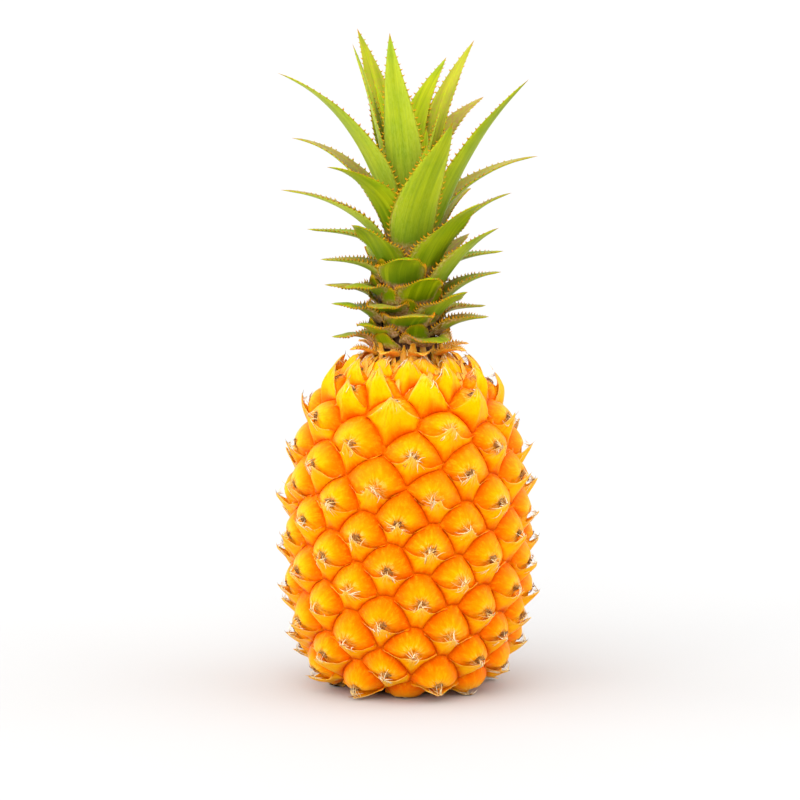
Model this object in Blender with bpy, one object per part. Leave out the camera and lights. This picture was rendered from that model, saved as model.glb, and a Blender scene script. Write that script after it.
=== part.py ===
"""A small fresh pineapple standing on its base: fruit, cut stalk, leafy crown and the dry bracts between.

Metres, +Z up. The origin is on the fruit's axis at the flat cut face of the stalk, which is also the
level the fruit rests on. Azimuths are measured from -Y (the front) towards +X.
"""

import math
import random

import bmesh
import bpy

MM = 0.001
FULL_TURN = 2.0 * math.pi

# Outline of the seams between the eyes: a barrel with full shoulders, tapering to a flat base.
WIDEST_HEIGHT = 52 * MM
SEAM_RADIUS = 43 * MM
HEIGHT_ABOVE_WIDEST = 75 * MM
UPPER_SQUARENESS = 2.6
TAPER_DEPTH = 60 * MM
LOWER_SQUARENESS = 2.4
# Below the heel the outline turns in sharply to the underside.
HEEL_HEIGHT = 12 * MM
UNDERSIDE_HEIGHT = 3 * MM
HEEL_SQUARENESS = 4.0
BOTTOM_RIM_RADIUS = 14 * MM
TOP_RIM_RADIUS = 14.8 * MM

# Spiral of the eyes: one eye after another, each turned by nearly the golden angle.
EYE_AREA = 257 * MM * MM
EYE_AREA_GROWTH = 0.169
EYE_MIDDLE_HEIGHT = 66 * MM
EYE_TURN = math.radians(137.404)
EYE_TURN_DRIFT = math.radians(0.0019)
EYE_START = math.radians(251.1)
EYE_SPIRAL_SHIFT = -1.1
EYE_NEIGHBOURS = [1, 2, 3, 5, 8, 13, 21, 34]
RIM_STEP = math.radians(15)

# One eye: a flat-topped shield with a pointed bract in its middle.
EYE_RELIEF = 4.3 * MM
EYE_RIM_RELIEF = 1.0 * MM
BRACT_TIP_RELIEF = 6.0 * MM
BRACT_TIP_RISE = 1.2 * MM
TOP_BRACT_RISE = 6.5 * MM
TOP_BRACTS_FROM = 92 * MM
TALLEST_TOP_BRACT = 127.4 * MM

# Cut stalk under the fruit, and the crown's stem on top of it, each in a socket with a small gap.
GAP = 0.35 * MM
STALK_RADIUS = 10.7 * MM
STALK_HEIGHT = 5.8 * MM
STALK_SOCKET_RADIUS = 11.5 * MM
STALK_SOCKET_TOP = 6.3 * MM
STEM_BOTTOM = 119.5 * MM
STEM_TOP = 193 * MM
STEM_RADIUS = 12.2 * MM
STEM_TIP_RADIUS = 4.0 * MM
STEM_SOCKET_RADIUS = 13.0 * MM
STEM_SOCKET_FLOOR = 119 * MM
STEM_SIDES = 24

# Crown: leaves one above another up the stem, each turned by the golden angle.
LEAF_COUNT = 48
LEAF_TURN = math.radians(137.508)
LEAF_START = math.radians(252)
LOWEST_LEAF = 131.2 * MM
LEAF_STEP = 1.0 * MM
LEAF_STEP_GROWTH = 0.0056 * MM
LEAF_STATIONS = [0.0, 0.12, 0.27, 0.44, 0.62, 0.8, 0.92]
LEAF_THICKNESS = 1.5 * MM
LEAF_TIP_THICKNESS = 0.7 * MM
# Leaves arch outward on the way to their tips, but few of them droop past level.
LEAF_CURL = 1.4
STEEPEST_CURL = math.radians(86)
# A leaf's cross-section: place across it, and share of the half-thickness to either face.
BLADE_SECTION = [(-1, 0), (-0.5, 0.86), (0, 1), (0.5, 0.86), (1, 0), (0.5, -0.86), (0, -1), (-0.5, -0.86)]

# Each leaf from the lowest up: turn of the tip past its foot (degrees), reach of the tip from the
# axis, height of the tip and greatest width (all mm).
LEAVES = [
    (16, 29, 134.2, 13),
    (3, 25.5, 134.8, 15.5),
    (0, 27, 138, 14),
    (10, 26, 141, 14),
    (0, 31, 142.4, 14),
    (0, 27, 143, 14),
    (14, 30.5, 145.5, 16),
    (-18, 33.5, 144.5, 13),
    (8, 29.5, 147.5, 14),
    (5, 27.5, 153.3, 15),
    (0, 29, 152, 14),
    (9, 27, 148, 14),
    (-10, 35.5, 158.8, 14),
    (14, 33.2, 153.2, 13),
    (3, 28.5, 159.8, 15),
    (-16, 36, 171, 13),
    (8, 28, 155, 14),
    (-9, 39, 177.6, 15),
    (0, 35, 166, 14),
    (16, 30, 167.5, 17),
    (-12, 39, 165.5, 13),
    (14, 33.3, 164, 14),
    (8, 39.5, 188.8, 16),
    (0, 38, 176, 15),
    (4, 30.5, 179.5, 17),
    (0, 39.3, 189, 14),
    (22, 41.3, 173.8, 13),
    (20, 39, 218, 17.5),
    (0, 40, 188, 15),
    (-6, 48.2, 190.3, 14),
    (3, 51.6, 233.4, 14),
    (0, 40, 200, 15),
    (-18, 42.1, 201, 16),
    (5, 55, 201, 12),
    (5, 46.6, 208.6, 14),
    (0, 17, 208, 13),
    (-22, 46, 223, 15),
    (-10, 51.7, 235.2, 17),
    (-4, 14, 203, 11),
    (0, 34, 249.6, 15),
    (-16, 17, 250, 15),
    (0, 33, 245.5, 15),
    (-10, 21.5, 245, 13),
    (-3, 10.5, 214, 9),
    (-29, 33, 238.5, 11),
    (4, 10, 224, 9.5),
    (-6, 12, 220, 10),
    (5, 15, 231, 10),
]
# Lean of a leaf's foot away from upright (degrees), against its place in the crown.
FOOT_LEAN = [(0, 44), (8, 38), (16, 32), (24, 26), (34, 17), (40, 10), (47, 7)]

# Half of the turn a leaf's foot clasps around the stem (degrees), and how much broader low leaves are.
FOOT_CLASP = [(0, 47), (20, 43), (32, 36), (47, 32)]
LOW_LEAF_BREADTH = [(0, 1.28), (16, 1.22), (30, 1.08), (47, 1.08)]

# Dry bracts where the crown leaves the fruit: azimuth (degrees), reach, tip height, width (mm).
COLLAR_BRACTS = [
    (62, 25, 130.2, 11),
    (104, 24, 130.8, 9),
    (150, 22.5, 130.6, 8),
    (196, 23, 130.2, 9),
    (236, 23, 131.0, 8),
    (290, 23.5, 130.2, 8),
    (332, 21.5, 129.8, 9),
    (16, 22, 129.6, 9),
]
COLLAR_FOOT_RADIUS = 13.2 * MM
COLLAR_FOOT_HEIGHT = 128.2 * MM
COLLAR_THICKNESS = 0.7 * MM
COLLAR_STATIONS = [0.0, 0.25, 0.5, 0.75, 0.92]

# Finish of each material slot: colour, roughness.
FINISHES = {
    "rind": ((0.86, 0.42, 0.03), 0.45),
    "leaf": ((0.34, 0.44, 0.05), 0.5),
    "dry_bract": ((0.72, 0.34, 0.06), 0.75),
    "stem": ((0.55, 0.50, 0.28), 0.7),
    "cut_stalk": ((0.25, 0.15, 0.07), 0.85),
}


def clearScene():
    for thing in list(bpy.data.objects):
        bpy.data.objects.remove(thing, do_unlink=True)


def makeFinish(slot):
    colour, roughness = FINISHES[slot]
    material = bpy.data.materials.new(slot)
    material.use_nodes = True
    shader = material.node_tree.nodes["Principled BSDF"]
    shader.inputs["Base Color"].default_value = (*colour, 1.0)
    shader.inputs["Roughness"].default_value = roughness
    shader.inputs["Metallic"].default_value = 0.0
    return material


def addPiece(name, slot, bm):
    bmesh.ops.recalc_face_normals(bm, faces=bm.faces[:])
    mesh = bpy.data.meshes.new(name)
    bm.to_mesh(mesh)
    bm.free()
    for face in mesh.polygons:
        face.use_smooth = True
    mesh.materials.append(finishes[slot])
    piece = bpy.data.objects.new(name, mesh)
    bpy.context.scene.collection.objects.link(piece)
    return piece


def between(low, high, share):
    return low + (high - low) * share


def clamp(value, low, high):
    return max(low, min(high, value))


def lookUp(pairs, x):
    """Value at x on a line drawn through (x, value) pairs."""
    for (x0, y0), (x1, y1) in zip(pairs, pairs[1:]):
        if x <= x1:
            return between(y0, y1, clamp((x - x0) / (x1 - x0), 0.0, 1.0))
    return pairs[-1][1]


# ---- the fruit ----


def superellipse(share, power):
    """Width left, from 1 down to 0, as share goes from 0 to 1 along a rounded square's side."""
    return max(0.0, 1.0 - share ** power) ** (1.0 / power)


def seamRadius(height):
    if height < WIDEST_HEIGHT:
        share = (WIDEST_HEIGHT - height) / TAPER_DEPTH
        radius = SEAM_RADIUS * superellipse(share, LOWER_SQUARENESS)
    else:
        share = (height - WIDEST_HEIGHT) / HEIGHT_ABOVE_WIDEST
        radius = SEAM_RADIUS * superellipse(share, UPPER_SQUARENESS)
    if height < HEEL_HEIGHT:
        share = (HEEL_HEIGHT - height) / (HEEL_HEIGHT - UNDERSIDE_HEIGHT)
        radius *= superellipse(share, HEEL_SQUARENESS)
    return radius


def outlinePoints():
    """Seam outline from the bottom rim up to the top rim, closely spaced."""
    points = []
    depth = WIDEST_HEIGHT - UNDERSIDE_HEIGHT
    for step in range(401):
        angle = math.pi / 2 * (1.0 - step / 400)
        height = WIDEST_HEIGHT - depth * math.sin(angle) ** (2.0 / HEEL_SQUARENESS)
        points.append((seamRadius(height), height))
    for step in range(1, 401):
        angle = math.pi / 2 * step / 400
        height = WIDEST_HEIGHT + HEIGHT_ABOVE_WIDEST * math.sin(angle) ** (2.0 / UPPER_SQUARENESS)
        points.append((seamRadius(height), height))
    kept = []
    for radius, height in points:
        rim = BOTTOM_RIM_RADIUS if height < WIDEST_HEIGHT else TOP_RIM_RADIUS
        if radius >= rim:
            kept.append((radius, height))
    return kept


class Outline:
    """The seam outline with, for each point, its map height q (dq = ds / r) and its place in the spiral."""

    def __init__(self):
        self.radius = []
        self.height = []
        self.q = []
        self.place = []
        q = 0.0
        place = 0.0
        last = None
        for radius, height in outlinePoints():
            if last is not None:
                run = math.hypot(radius - last[0], height - last[1])
                middle = (radius + last[0]) / 2
                area = EYE_AREA * (1.0 + EYE_AREA_GROWTH * (height - EYE_MIDDLE_HEIGHT) / EYE_MIDDLE_HEIGHT)
                q += run / middle
                place += FULL_TURN * middle * run / area
            self.radius.append(radius)
            self.height.append(height)
            self.q.append(q)
            self.place.append(place)
            last = (radius, height)
        zero = self.at(self.height, EYE_MIDDLE_HEIGHT, self.place)
        self.place = [value - zero for value in self.place]

    def at(self, keys, key, values):
        low = 0
        high = len(keys) - 1
        while high - low > 1:
            middle = (low + high) // 2
            if keys[middle] <= key:
                low = middle
            else:
                high = middle
        share = (key - keys[low]) / (keys[high] - keys[low])
        return between(values[low], values[high], share)

    def point(self, q):
        """Radius, height and outward direction (radial, up) at map height q."""
        q = clamp(q, self.q[0], self.q[-1])
        radius = self.at(self.q, q, self.radius)
        height = self.at(self.q, q, self.height)
        lower = clamp(q - 0.01, self.q[0], self.q[-1])
        upper = clamp(q + 0.01, self.q[0], self.q[-1])
        along = self.at(self.q, upper, self.radius) - self.at(self.q, lower, self.radius)
        up = self.at(self.q, upper, self.height) - self.at(self.q, lower, self.height)
        size = math.hypot(along, up)
        return radius, height, up / size, -along / size


def eyeCentres(outline):
    """Map position (azimuth, q) of every eye, with a few beyond both rims to bound the outer ones."""
    first = math.ceil(outline.place[0]) - 36
    last = math.floor(outline.place[-1]) + 36
    centres = []
    for number in range(first, last + 1):
        place = number + EYE_SPIRAL_SHIFT
        if place < outline.place[0]:
            pace = EYE_AREA / (FULL_TURN * BOTTOM_RIM_RADIUS ** 2)
            q = outline.q[0] + (place - outline.place[0]) * pace
        elif place > outline.place[-1]:
            pace = EYE_AREA / (FULL_TURN * TOP_RIM_RADIUS ** 2)
            q = outline.q[-1] + (place - outline.place[-1]) * pace
        else:
            q = outline.at(outline.place, place, outline.q)
        azimuth = EYE_START + EYE_TURN * number + EYE_TURN_DRIFT * number * number
        centres.append((azimuth, q))
    return centres


def cutPolygon(polygon, normalX, normalY, limit):
    """The part of the polygon where normal . point <= limit."""
    kept = []
    for index, here in enumerate(polygon):
        there = polygon[(index + 1) % len(polygon)]
        sideHere = normalX * here[0] + normalY * here[1] - limit
        sideThere = normalX * there[0] + normalY * there[1] - limit
        if sideHere <= 0:
            kept.append(here)
        if (sideHere < 0 < sideThere) or (sideThere < 0 < sideHere):
            share = sideHere / (sideHere - sideThere)
            kept.append((between(here[0], there[0], share), between(here[1], there[1], share)))
    return kept


def eyeOutline(centres, index, lowest, highest):
    """The eye's shield outline on the map: everything nearer to its centre than to its neighbours'."""
    azimuth, q = centres[index]
    polygon = [(-2.6, lowest - q), (2.6, lowest - q), (2.6, highest - q), (-2.6, highest - q)]
    for step in EYE_NEIGHBOURS:
        for other in (index - step, index + step):
            if 0 <= other < len(centres) and polygon:
                turn = (centres[other][0] - azimuth + math.pi) % FULL_TURN - math.pi
                rise = centres[other][1] - q
                polygon = cutPolygon(polygon, turn, rise, (turn * turn + rise * rise) / 2)
    return splitRim(splitRim(polygon, lowest - q), highest - q)


def splitRim(polygon, level):
    """Add corners along the sides that lie on a rim, so the rim stays round."""
    points = []
    for index, here in enumerate(polygon):
        there = polygon[(index + 1) % len(polygon)]
        points.append(here)
        if abs(here[1] - level) < 1e-6 and abs(there[1] - level) < 1e-6:
            parts = math.ceil(abs(there[0] - here[0]) / RIM_STEP)
            for part in range(1, parts):
                points.append((between(here[0], there[0], part / parts), level))
    return points


def polygonArea(polygon):
    total = 0.0
    for index, here in enumerate(polygon):
        there = polygon[(index + 1) % len(polygon)]
        total += here[0] * there[1] - here[1] * there[0]
    return total / 2


def onFruit(outline, azimuth, q, relief, rise=0.0):
    """Point raised off the seam surface by relief along its normal and by rise along the way up."""
    radius, height, outward, up = outline.point(q)
    radius += relief * outward - rise * up * 0.45
    height += relief * up + rise * between(outward, 1.0, 0.5)
    height = max(0.0, height)
    return (radius * math.sin(azimuth), -radius * math.cos(azimuth), height)


def addEye(bm, outline, centre, polygon, luck):
    azimuth, q = centre
    corners = len(polygon)
    middleX = sum(point[0] for point in polygon) / corners
    middleY = sum(point[1] for point in polygon) / corners
    radius, height, outward, up = outline.point(q + middleY)
    size = math.sqrt(max(0.0, polygonArea(polygon))) * radius
    fullness = clamp(size / math.sqrt(EYE_AREA), 0.15, 1.0)
    top = WIDEST_HEIGHT + HEIGHT_ABOVE_WIDEST
    topShare = clamp((height - TOP_BRACTS_FROM) / (top - TOP_BRACTS_FROM), 0.0, 1.0)
    rimShare = 1.0
    if height > WIDEST_HEIGHT:
        rimShare = clamp((radius - TOP_RIM_RADIUS) / (14 * MM), 0.0, 1.0)
    relief = between(EYE_RIM_RELIEF, EYE_RELIEF * luck, rimShare) * fullness
    halfHeight = max(abs(point[1] - middleY) for point in polygon)
    rings = []
    for share, raised in ((1.0, 0.0), (0.85, 0.62), (0.52, 1.0), (0.2, 1.0)):
        ring = []
        for pointX, pointY in polygon:
            lowness = clamp(0.5 - (pointY - middleY) / (2 * halfHeight), 0.0, 1.0)
            lift = raised
            if share < 0.3:
                lift = between(0.82, 1.18, lowness)
            elif share < 0.6:
                lift = between(1.05, 0.92, lowness)
            x = azimuth + between(middleX, pointX, share)
            y = q + between(middleY, pointY, share)
            ring.append(bm.verts.new(onFruit(outline, x, y, relief * lift)))
        rings.append(ring)
    tipRelief = BRACT_TIP_RELIEF * luck * between(0.3, 1.0, rimShare) * fullness
    tipRise = between(BRACT_TIP_RISE, TOP_BRACT_RISE * rimShare, topShare) * fullness
    tip = list(onFruit(outline, azimuth + middleX, q + middleY, tipRelief, tipRise))
    tip[2] = min(tip[2], TALLEST_TOP_BRACT)
    peak = bm.verts.new(tip)
    for inner, outer in zip(rings[1:], rings):
        for index in range(corners):
            after = (index + 1) % corners
            bm.faces.new((outer[index], outer[after], inner[after], inner[index]))
    for index in range(corners):
        bm.faces.new((rings[-1][index], rings[-1][(index + 1) % corners], peak))


def closeEnd(bm, low, high, socketRadius, socketHeight):
    """Close a rim with a flat ring, the socket's wall and its floor."""
    rim = [edge for edge in bm.edges if len(edge.link_faces) == 1]
    corners = set()
    for edge in rim:
        for corner in edge.verts:
            if low < corner.co.z < high:
                corners.add(corner)
    ordered = sorted(corners, key=lambda corner: math.atan2(corner.co.x, -corner.co.y))
    rimHeight = sum(corner.co.z for corner in ordered) / len(ordered)
    mouth = []
    foot = []
    for corner in ordered:
        azimuth = math.atan2(corner.co.x, -corner.co.y)
        x = socketRadius * math.sin(azimuth)
        y = -socketRadius * math.cos(azimuth)
        mouth.append(bm.verts.new((x, y, rimHeight)))
        foot.append(bm.verts.new((x, y, socketHeight)))
    middle = bm.verts.new((0.0, 0.0, socketHeight))
    count = len(ordered)
    for index in range(count):
        after = (index + 1) % count
        bm.faces.new((ordered[index], ordered[after], mouth[after], mouth[index]))
        bm.faces.new((mouth[index], mouth[after], foot[after], foot[index]))
        bm.faces.new((foot[index], foot[after], middle))


def makeFruit():
    """The fruit grew as one piece: rind of joined eyes all over, a socket at each end."""
    outline = Outline()
    centres = eyeCentres(outline)
    chance = random.Random(7)
    bm = bmesh.new()
    lowest = outline.q[0]
    highest = outline.q[-1]
    eyes = 0
    for index, centre in enumerate(centres):
        luck = chance.uniform(0.93, 1.07)
        if not lowest - 1.2 < centre[1] < highest + 1.2:
            continue
        polygon = eyeOutline(centres, index, lowest, highest)
        if len(polygon) < 3 or polygonArea(polygon) < 0.004:
            continue
        addEye(bm, outline, centre, polygon, luck)
        eyes += 1
    bmesh.ops.remove_doubles(bm, verts=bm.verts[:], dist=0.02 * MM)
    closeEnd(bm, -0.01, 0.03, STALK_SOCKET_RADIUS, STALK_SOCKET_TOP)
    closeEnd(bm, 0.11, 0.15, STEM_SOCKET_RADIUS, STEM_SOCKET_FLOOR)
    addPiece("fruit", "rind", bm)
    print("fruit with", eyes, "eyes")


# ---- stalk and stem ----


def turnedPiece(name, slot, profile, sides):
    """Round piece about +Z from (radius, height) points; both ends are closed."""
    bm = bmesh.new()
    rings = []
    for radius, height in profile:
        ring = []
        for side in range(sides):
            angle = FULL_TURN * side / sides
            ring.append(bm.verts.new((radius * math.sin(angle), -radius * math.cos(angle), height)))
        rings.append(ring)
    for lower, upper in zip(rings, rings[1:]):
        for side in range(sides):
            after = (side + 1) % sides
            bm.faces.new((lower[side], lower[after], upper[after], upper[side]))
    bm.faces.new(rings[0])
    bm.faces.new(rings[-1])
    return addPiece(name, slot, bm)


def stemRadius(height):
    share = clamp((height - STEM_BOTTOM) / (STEM_TOP - STEM_BOTTOM), 0.0, 1.0)
    return between(STEM_RADIUS, STEM_TIP_RADIUS, share)


def makeStalkAndStem():
    stalk = [(STALK_RADIUS - 0.6 * MM, 0.0), (STALK_RADIUS, 0.6 * MM), (STALK_RADIUS, STALK_HEIGHT)]
    turnedPiece("peduncle_stub", "cut_stalk", stalk, 32)
    stem = []
    for step in range(7):
        height = between(STEM_BOTTOM, STEM_TOP, step / 6)
        stem.append((stemRadius(height), height))
    stem.append((STEM_TIP_RADIUS * 0.55, STEM_TOP + 2.2 * MM))
    turnedPiece("crown_stem", "stem", stem, STEM_SIDES)


# ---- leaves and bracts ----


def curvePoint(ends, share):
    """Point on the cubic curve through four guide points (radius, height)."""
    back = 1.0 - share
    weights = (back ** 3, 3 * back * back * share, 3 * back * share * share, share ** 3)
    radius = sum(weight * point[0] for weight, point in zip(weights, ends))
    height = sum(weight * point[1] for weight, point in zip(weights, ends))
    return radius, height


def bladeWidth(share, footWidth, greatest, widest):
    """Half-width along a leaf: from its foot to its greatest at share widest, then down to the point."""
    if share < widest:
        rise = math.sin(math.pi / 2 * share / widest)
        return between(footWidth, greatest, rise)
    fall = (share - widest) / (1.0 - widest)
    return greatest * (1.0 - fall ** 1.45)


def addBlade(name, slot, blade):
    """A channelled leaf: rings of eight points along its curve, a flat foot and a pointed tip."""
    bm = bmesh.new()
    rings = []
    for share in blade["stations"]:
        radius, height = curvePoint(blade["guides"], share)
        ahead = curvePoint(blade["guides"], share + 0.01)
        behind = curvePoint(blade["guides"], share - 0.01)
        lean = math.atan2(ahead[0] - behind[0], ahead[1] - behind[1])
        azimuth = blade["azimuth"] + blade["turn"] * share * share * (3 - 2 * share)
        half = bladeWidth(share, blade["footWidth"], blade["greatest"], blade["widest"])
        bend = half / between(blade["footWrap"], blade["greatest"] * 1.55, min(1.0, share * 2.2))
        wrap = half / bend
        thick = between(blade["thickness"], LEAF_TIP_THICKNESS, share)
        ring = []
        for across, face in BLADE_SECTION:
            outward = face * thick / 2
            ring.append(bladePoint(bm, across, outward, azimuth, radius, height, lean, wrap, bend))
        rings.append(ring)
    radius, height = curvePoint(blade["guides"], 1.0)
    azimuth = blade["azimuth"] + blade["turn"]
    tip = bm.verts.new((radius * math.sin(azimuth), -radius * math.cos(azimuth), height))
    count = len(rings[0])
    for lower, upper in zip(rings, rings[1:]):
        for index in range(count):
            after = (index + 1) % count
            bm.faces.new((lower[index], lower[after], upper[after], upper[index]))
    for index in range(count):
        bm.faces.new((rings[-1][index], rings[-1][(index + 1) % count], tip))
    bm.faces.new(rings[0])
    return addPiece(name, slot, bm)


def bladePoint(bm, across, outward, azimuth, radius, height, lean, wrap, bend):
    """Corner of a leaf's cross-section: across it from -1 to 1, outward from its middle surface."""
    angle = across * bend
    side = (wrap + outward) * math.sin(angle)
    inward = wrap - (wrap + outward) * math.cos(angle)
    along = radius - inward * math.cos(lean)
    up = height + inward * math.sin(lean)
    x = along * math.sin(azimuth) + side * math.cos(azimuth)
    y = -along * math.cos(azimuth) + side * math.sin(azimuth)
    return bm.verts.new((x, y, up))


def makeLeaves():
    for number, (turn, reach, tipHeight, width) in enumerate(LEAVES):
        foot = LOWEST_LEAF + LEAF_STEP * number + LEAF_STEP_GROWTH * number * number
        footLean = math.radians(lookUp(FOOT_LEAN, number))
        thickness = between(LEAF_THICKNESS, 1.1 * MM, number / LEAF_COUNT)
        footRadius = stemRadius(foot) + GAP + thickness / 2 / math.cos(footLean)
        reach = reach * MM
        tipHeight = tipHeight * MM
        chord = math.hypot(reach - footRadius, tipHeight - foot)
        chordLean = math.atan2(reach - footRadius, tipHeight - foot)
        tipLean = chordLean + clamp((chordLean - footLean) * LEAF_CURL, -0.15, 0.8)
        if tipLean > STEEPEST_CURL:
            tipLean = max(STEEPEST_CURL, chordLean + math.radians(8))
        guides = [
            (footRadius, foot),
            (footRadius + 0.36 * chord * math.sin(footLean), foot + 0.36 * chord * math.cos(footLean)),
            (reach - 0.34 * chord * math.sin(tipLean), tipHeight - 0.34 * chord * math.cos(tipLean)),
            (reach, tipHeight),
        ]
        blade = {
            "stations": LEAF_STATIONS,
            "guides": guides,
            "azimuth": LEAF_START + LEAF_TURN * number,
            "turn": math.radians(turn),
            "footWidth": footRadius * math.radians(lookUp(FOOT_CLASP, number)),
            "footWrap": footRadius,
            "greatest": width * MM / 2 * lookUp(LOW_LEAF_BREADTH, number),
            "widest": 0.3,
            "thickness": thickness,
        }
        addBlade("leaf_%02d" % (number + 1), "leaf", blade)
    print(LEAF_COUNT, "leaves")


def makeCollarBracts():
    for number, (azimuth, reach, tipHeight, width) in enumerate(COLLAR_BRACTS):
        reach = reach * MM
        tipHeight = tipHeight * MM
        span = reach - COLLAR_FOOT_RADIUS
        guides = [
            (COLLAR_FOOT_RADIUS, COLLAR_FOOT_HEIGHT),
            (COLLAR_FOOT_RADIUS + span * 0.3, COLLAR_FOOT_HEIGHT + 1.6 * MM),
            (COLLAR_FOOT_RADIUS + span * 0.7, tipHeight + 1.2 * MM),
            (reach, tipHeight),
        ]
        blade = {
            "stations": COLLAR_STATIONS,
            "guides": guides,
            "azimuth": math.radians(azimuth),
            "turn": 0.0,
            "footWidth": width * MM * 0.42,
            "footWrap": COLLAR_FOOT_RADIUS,
            "greatest": width * MM / 2,
            "widest": 0.3,
            "thickness": COLLAR_THICKNESS,
        }
        addBlade("collar_bract_%02d" % (number + 1), "dry_bract", blade)
    print(len(COLLAR_BRACTS), "collar bracts")


clearScene()
finishes = {slot: makeFinish(slot) for slot in FINISHES}
makeFruit()
makeStalkAndStem()
makeLeaves()
makeCollarBracts()
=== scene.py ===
import math
import random
import bpy
import bmesh
import numpy as np
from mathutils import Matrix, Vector


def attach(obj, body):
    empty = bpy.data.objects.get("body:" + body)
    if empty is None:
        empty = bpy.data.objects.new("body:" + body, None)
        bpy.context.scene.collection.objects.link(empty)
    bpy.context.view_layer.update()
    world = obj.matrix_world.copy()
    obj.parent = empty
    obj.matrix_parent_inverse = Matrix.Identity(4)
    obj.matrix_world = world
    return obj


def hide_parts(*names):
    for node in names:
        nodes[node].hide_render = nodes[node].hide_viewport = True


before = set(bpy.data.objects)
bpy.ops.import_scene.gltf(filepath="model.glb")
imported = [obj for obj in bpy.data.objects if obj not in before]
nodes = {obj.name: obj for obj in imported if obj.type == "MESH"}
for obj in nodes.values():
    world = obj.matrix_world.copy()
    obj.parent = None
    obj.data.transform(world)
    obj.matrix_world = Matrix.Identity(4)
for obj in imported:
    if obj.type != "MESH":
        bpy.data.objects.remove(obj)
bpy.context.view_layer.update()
mm = 0.001
fullTurn = 2 * math.pi


# small helpers

def toLinear(hexColour):
    # sRGB hex to the linear numbers a shader takes
    out = []
    for start in (1, 3, 5):
        part = int(hexColour[start:start + 2], 16) / 255
        out.append(part / 12.92 if part <= 0.04045 else ((part + 0.055) / 1.055) ** 2.4)
    return (*out, 1.0)


def blendIn(low, high, x):
    share = np.clip((x - low) / (high - low), 0, 1)
    return share * share * (3 - 2 * share)


def mixed(low, high, share):
    return low + (high - low) * share


def bell(x, width):
    return np.exp(-(x / width) ** 2)


def unit(vectors):
    length = np.linalg.norm(vectors, axis=-1, keepdims=True)
    return vectors / np.maximum(length, 1e-12)


def roundAxis(radius, azimuth, height):
    # points round the upright axis; azimuth runs from the front towards the right
    return np.stack([radius * np.sin(azimuth), -radius * np.cos(azimuth), height], -1)


def runSum(start, steps):
    # start, and start with each running sum of the steps between the points
    return start + np.concatenate([[0], np.cumsum(steps)])


def throughPoints(knots, values, at):
    # smooth curve through values given at knots, read at the places in at
    knots = np.asarray(knots, float)
    values = np.asarray(values, float)
    slopes = np.gradient(values, knots, axis=0)
    at = np.clip(np.asarray(at, float), knots[0], knots[-1])
    index = np.clip(np.searchsorted(knots, at) - 1, 0, len(knots) - 2)
    shape = (len(at),) + (1,) * (values.ndim - 1)
    gap = (knots[index + 1] - knots[index]).reshape(shape)
    t = (at - knots[index]).reshape(shape) / gap
    return ((2 * t**3 - 3 * t**2 + 1) * values[index] + (t**3 - 2 * t**2 + t) * gap * slopes[index]
            + (3 * t**2 - 2 * t**3) * values[index + 1] + (t**3 - t**2) * gap * slopes[index + 1])


# a shell holds the points, faces, UV places and marks of a piece while it is made

def newShell(*names):
    return {"points": [], "faces": [], "uv": [], "marks": {name: [] for name in names}}


def addPoints(shell, points, uv=None, **marks):
    # a mark is one number for all the points, or one for each; one that isn't given is 0
    start = len(shell["points"])
    points = np.reshape(points, (-1, 3))
    shell["points"].extend(points)
    if uv is not None:
        shell["uv"].extend(np.reshape(uv, (-1, 2)))
    for name, values in shell["marks"].items():
        values.extend(np.broadcast_to(np.ravel(marks.get(name, 0.0)), len(points)))
    return start


def joinRings(shell, start, sides, rings):
    for ring in range(rings - 1):
        for index in range(sides):
            here = start + ring * sides + index
            after = start + ring * sides + (index + 1) % sides
            shell["faces"].append((here, after, after + sides, here + sides))


def joinTip(shell, start, sides, tip):
    for index in range(sides):
        shell["faces"].append((start + index, start + (index + 1) % sides, tip))


def addSheet(shell, front, back, uv, **marks):
    # a thin closed sheet from two grids of points, with the same marks on both sides
    rows, columns = front.shape[:2]
    size = rows * columns
    start = addPoints(shell, front, uv, **marks)
    addPoints(shell, back, uv, **marks)
    for row in range(rows - 1):
        for column in range(columns - 1):
            p = start + row * columns + column
            shell["faces"].append((p, p + columns, p + columns + 1, p + 1))
            shell["faces"].append((p + size, p + size + 1, p + size + columns + 1, p + size + columns))
    edge = list(range(columns)) + [row * columns + columns - 1 for row in range(1, rows)]
    edge += [(rows - 1) * columns + column for column in range(columns - 2, -1, -1)]
    edge += [row * columns for row in range(rows - 2, 0, -1)]
    for index, here in enumerate(edge):
        here += start
        there = start + edge[(index + 1) % len(edge)]
        shell["faces"].append((there, here, here + size, there + size))


def makePiece(name, shell, material):
    # one smooth mesh object at the origin, with its marks as attributes
    mesh = bpy.data.meshes.new(name)
    faces = [tuple(int(index) for index in face) for face in shell["faces"]]
    mesh.from_pydata([tuple(point) for point in shell["points"]], [], faces)
    for mark, values in shell["marks"].items():
        mesh.attributes.new(mark, "FLOAT", "POINT").data.foreach_set("value", np.asarray(values, np.float32))
    if shell["uv"]:
        layer = mesh.uv_layers.new(name="UVMap")
        corners = np.zeros(len(mesh.loops), np.int32)
        mesh.loops.foreach_get("vertex_index", corners)
        layer.data.foreach_set("uv", np.asarray(shell["uv"], np.float32)[corners].ravel())
    mesh.polygons.foreach_set("use_smooth", [True] * len(mesh.polygons))
    mesh.materials.append(material)
    bm = bmesh.new()
    bm.from_mesh(mesh)
    bmesh.ops.recalc_face_normals(bm, faces=bm.faces[:])
    bm.to_mesh(mesh)
    bm.free()
    piece = bpy.data.objects.new(name, mesh)
    bpy.context.scene.collection.objects.link(piece)
    return piece


def dress(piece, slot, *stoodFor):
    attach(piece, "root")
    if stoodFor:
        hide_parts(*stoodFor)


# materials

def startMaterial(name):
    material = bpy.data.materials.new(name)
    material.use_nodes = True
    return material, material.node_tree, material.node_tree.nodes["Principled BSDF"]


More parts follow.
